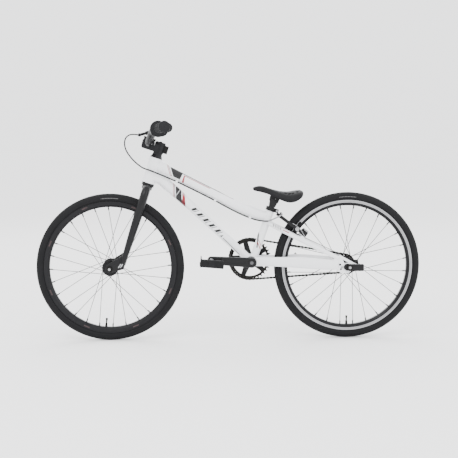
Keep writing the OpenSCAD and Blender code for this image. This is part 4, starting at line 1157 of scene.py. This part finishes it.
def brake_arm(side_name, left):
    """One linear-pull arm with its spring and screws, and its pad on a threaded post."""
    turn = BRAKE if left else BRAKE @ OTHER_SIDE
    node = "brake_arm_" + side_name
    arm = Shape()
    outline = smooth([(-3, 34.6), (20, 36.4), (60, 38.6), (95, 34.2), (111.5, 34)], 4) \
        + smooth([(112.6, 36), (111.5, 40.6), (98, 42.3), (60, 47.8), (20, 49), (-3, 48)], 4)
    arm.prism([(x, y) for x, y in outline], 16, 27, 1.6, turn @ FLAT)
    boss = [(4.4, 14.4), (7.2, 14.4), (7.6, 15), (7.6, 32.2), (7, 33), (4.4, 33)]
    arm.lathe(boss, 40, turn @ Matrix.Translation((0, 41, 0)), True)
    arm.rod((33, 36.2, 21.5), (33, 49, 21.5), 9, 40, 1.0, turn=turn)
    stand_for(arm.piece(node + "_forging", BLACK, 35), node)
    metal = Shape()
    wire = [(-1, 46.2, 15), (-4.5, 49.4, 17), (4, 50.6, 20), (30, 50.9, 29), (58, 49.4, 28.2)]
    metal.sweep([(*(turn @ Vector(p[:3])), 0.9, 0.9) for p in smooth(wire, 6)], 10)
    metal.rod((0, 41, 36.6), (0, 41, 38.4), 4.6, 6, 0.4, turn=turn)
    if not left:
        metal.rod((98, 38, 26.6), (98, 38, 30), 5.2, 32, 0.5, turn=turn)
        metal.rod((98, 38, 29.8), (98, 38, 33.6), 3.4, 6, 0.4, turn=turn)
    made = metal.piece(node + "_spring", STEEL)
    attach(made, nodes[node]["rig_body"])
    node = "brake_pad_" + side_name
    pad = Shape().block((28.8, 13.7, -5.5), (37.2, 21.5, 48.5), 1.6, turn, 3)
    pad.block((30.2, 20.8, 6), (35.8, 23.6, 36), 1.0, turn)
    obj = pad.piece(node + "_block", rubber(node + "_rubber"), 35)
    slots = [Shape().block((26, 12.6, z - 0.9), (40, 15.6, z + 0.9), 0.3, turn)
             for z in (5.5, 21.5, 37.5)]
    stand_for(cut(obj, slots, 35), node)
    post, disc = Shape(), Shape()
    post.rod((33, 22.5, 21.5), (33, 36.4, 21.5), 6, 32, 0.8, turn=turn)
    disc.rod((33, 49.2, 21.5), (33, 51.5, 21.5), 7, 40, 0.5, turn=turn)
    disc.rod((33, 51.3, 21.5), (33, 56, 21.5), 4.9, 6, 0.5, turn=turn)
    for made, slot in ((post.piece(node + "_washers", ALLOY), "black_alloy"),
                       (disc.piece(node + "_nut", STEEL), "bright_steel")):
        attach(made, nodes["brake_arm_" + side_name]["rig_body"])


def noodle():
    """Bent guide pipe, pleated boot and the inner wire between the arms."""
    start, turn, tip = Vector((-140, 27, 418)), Vector((-183, 62, 441)), Vector((-183, 14, 441))
    pipe = Shape().sweep([(*p, 2.5, 2.5) for p in rounded([start, turn, tip], 12, 12)], 20)
    ahead = (turn - start).normalized()
    pipe.rod(start, start + ahead * 9, 3.4, 24, 0.5)
    wire = Shape().rod((-183, -13, 441), (-183, -48, 441), 0.8, 12)
    wire.rod((-183, -43, 441), (-183, -48, 441), 1.3, 12, 0.3)
    boot = Shape()
    outline = [(0.85, 0)]
    for k in range(9):
        y = k * 3.1
        outline += [(2.7, y + 0.1), (3.6, y + 1.0), (3.6, y + 1.9), (2.7, y + 2.9)]
    boot.lathe(outline + [(2.6, 28.4), (0.85, 28.4)], 28,
               Matrix.Translation((-183, 14.4, 441)) @ spin(90, "X"), True)
    stand_for(pipe.piece("noodle_pipe", STEEL), "brake_noodle")
    body = nodes["brake_noodle"]["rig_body"]
    for made, slot in ((wire.piece("brake_inner_wire", STEEL), "bright_steel"),
                       (boot.piece("noodle_boot", rubber("boot_rubber")), "pad_rubber")):
        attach(made, body)


# ---------------------------------------------------------------- seat clamp and chain tensioners

SEAT = Matrix.Translation(SEAT_FOOT) @ spin(-19.5, "Y")


def seat_clamp():
    ring = Shape().lathe([(SEAT_R, 185), (17.4, 185), (18, 185.8), (18, 197.7), (17.3, 198.5),
                          (12, 198.5), (12, 197), (SEAT_R, 197)], 72, SEAT, True)
    ring.block((-27.5, 1.2, 185), (-15.5, 8, 198.5), 1.3, SEAT)
    ring.block((-27.5, -8, 185), (-15.5, -1.2, 198.5), 1.3, SEAT)
    bolt = Shape().rod((-21.5, -12, 191.5), (-21.5, -8, 191.5), 4.2, 32, 0.6, turn=SEAT)
    bolt.rod((-21.5, 8, 191.5), (-21.5, 11, 191.5), 4.2, 6, 0.4, turn=SEAT)
    bolt.rod((-21.5, -8, 191.5), (-21.5, 10, 191.5), 2.5, 24, turn=SEAT)
    stand_for(ring.piece("seat_clamp_ring", BLACK, 35), "seat_clamp")
    made = bolt.piece("seat_clamp_bolt", STEEL)
    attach(made, "frame")


SADDLE_TILT_AT = hinge("saddle_tilt")[0]
TILT_FRAME = SEAT @ Matrix.Translation((0, 0, (SEAT.inverted() @ SADDLE_TILT_AT).z))
HEAD_DISC_R = 13
CRADLE_R = HEAD_DISC_R + 0.4


def seat_post():
    """The seat post, flaring to the round head that the saddle tilts on."""
    outline = arc(HEAD_DISC_R, 0, 180, 24) + [(-12.6, -5), (-11.3, -14), (11.3, -14), (12.6, -5)]
    post = Shape().prism(outline, -12, 12, 0.8, TILT_FRAME)
    post.rod((0, 0, -139), (0, 0, -12), 11.1, 64, 0.5, turn=TILT_FRAME)
    stand_for(post.piece("flared_seat_post", BLACK, 35), "seat_post")


def saddle_base():
    """The saddle's stiff shell under its cover, and the cradle that sits on the seat post."""
    rows = []
    for x, w, top, low in smooth(SADDLE[3:10], 6):
        sheets = []
        for thin in (5.4, 8.6):
            rise = top - thin * 1.6 - low
            sheets.append([(x, (w - thin) * cos(a), low + rise * sin(a) ** 0.75)
                           for a in (pi * k / 40 for k in range(41))])
        rows.append(sheets[0] + sheets[1][::-1])
    base = Shape().grid(rows, ends=True)
    outline = arc(CRADLE_R, 5, 175, 24) + [(-15.6, 1.2), (-16.6, 14), (-17, 34.5), (17, 31),
                                           (16.6, 14), (15.6, 1.2)]
    base.prism(outline, -12.5, 12.5, 0.6, TILT_FRAME)
    stand_for(base.piece("saddle_shell_and_cradle", RESIN, 35), "saddle_base")


def tensioners():
    """Axle blocks of the rear wheel, with their end tabs and adjusting screws."""
    nose = [(-408 + x, 257.5 + z) for x, z in arc(12.25, -80, 80, 16)]
    outline = nose + [(-420, 268), (-463, 268), (-466, 265), (-466, 246.5), (-463, 243.5),
                      (-420, 243.5)]
    blocks = Shape().prism(outline, 60.2, 66.2, 0.9)
    blocks.block((-466, 54.9, 247), (-462, 60.4, 264), 0.6)
    screws = Shape().rod((-398, 63.4, 257.5), (-388, 63.4, 257.5), 2.5, 24, 0.3)
    screws.rod((-388.2, 63.4, 257.5), (-385, 63.4, 257.5), 3, 24, 0.5)
    obj = blocks.mirrored().piece("tensioner_blocks", BLACK, 35)
    stand_for(obj, "chain_tensioners")
    made = screws.mirrored().piece("tensioner_screws", STEEL)
    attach(made, "frame")


# ---------------------------------------------------------------- run

camera()
studio()
PAINT = white_paint("frame_paint")
SEAT_PAINT = white_paint("seat_tube_paint", seat_graphics)
BLACK = gloss_black("black_paint")
FORK_PAINT = gloss_black("fork_paint", fork_graphics)
ALLOY = satin_alloy("black_alloy")
STEEL = bright_steel("bright_steel")
OILED = oiled_steel("black_steel")
RUBBER = rubber("plain_rubber")
RESIN = black_resin("black_resin")
SKIN = saddle_skin("saddle_cover")
SHEATH = cable_sheath("cable_cover")
BY_SLOT = {"frame_paint": PAINT, "black_paint": BLACK, "black_alloy": ALLOY, "bright_steel": STEEL,
           "black_steel": OILED, "tyre_rubber": RUBBER, "tube_rubber": RUBBER,
           "grip_rubber": RUBBER, "pad_rubber": RUBBER, "cable_cover": SHEATH,
           "black_resin": RESIN, "saddle_cover": SKIN, "rim_alloy": ALLOY}
for part in frame["record"]["subparts"]:
    data = nodes[part["node"]].data
    data.materials.clear()
    data.materials.append(BY_SLOT[part["material_slot"]])
nodes["front_rim"].data.materials[0] = rim_alloy("front_rim_alloy", FRONT_HUB, False)
nodes["rear_rim"].data.materials[0] = rim_alloy("rear_rim_alloy", REAR_HUB, True)
nodes["seat_tube"].data.materials[0] = SEAT_PAINT
nodes["stem_bolts"].data.materials[0] = OILED
nodes["crank_bolts"].data.materials[0] = crank_bolt_steel("crank_bolt_steel")
frame_tubes()
brake_studs(STEEL, PAINT)
tyre(FRONT_HUB, "front_tyre", "front_race_tyre")
tyre(REAR_HUB, "rear_tyre", "rear_race_tyre")
nipples_and_valve(FRONT_HUB, "front_wheel", "front", -85, ALLOY, RESIN)
nipples_and_valve(REAR_HUB, "rear_wheel", "rear", -90, ALLOY, RESIN)
handlebar()
GRIP = rubber("grip_rubber", (0.01, 0.01, 0.011), 1300)
grip_piece("left_grip_ribs", "grip_left", True, GRIP)
grip_piece("right_grip_ribs", "grip_right", False, GRIP)
brake_lever()
cable()
fork_leg("left_fork_leg", "fork_leg_left", True)
fork_leg("right_fork_leg", "fork_leg_right", False)
saddle_cover()
crank_arm("left_crank_arm", "crank_arm_left", CRANK, False)
crank_arm("right_crank_arm", "crank_arm_right", OTHER_ARM, True)
pedal("left_platform_pedal", "pedal_left", hinge("left_pedal_spin")[0], True)
pedal("right_platform_pedal", "pedal_right", hinge("right_pedal_spin")[0], False)
chain()
brake_arm("left", True)
brake_arm("right", False)
noodle()
seat_clamp()
seat_post()
saddle_base()
tensioners()
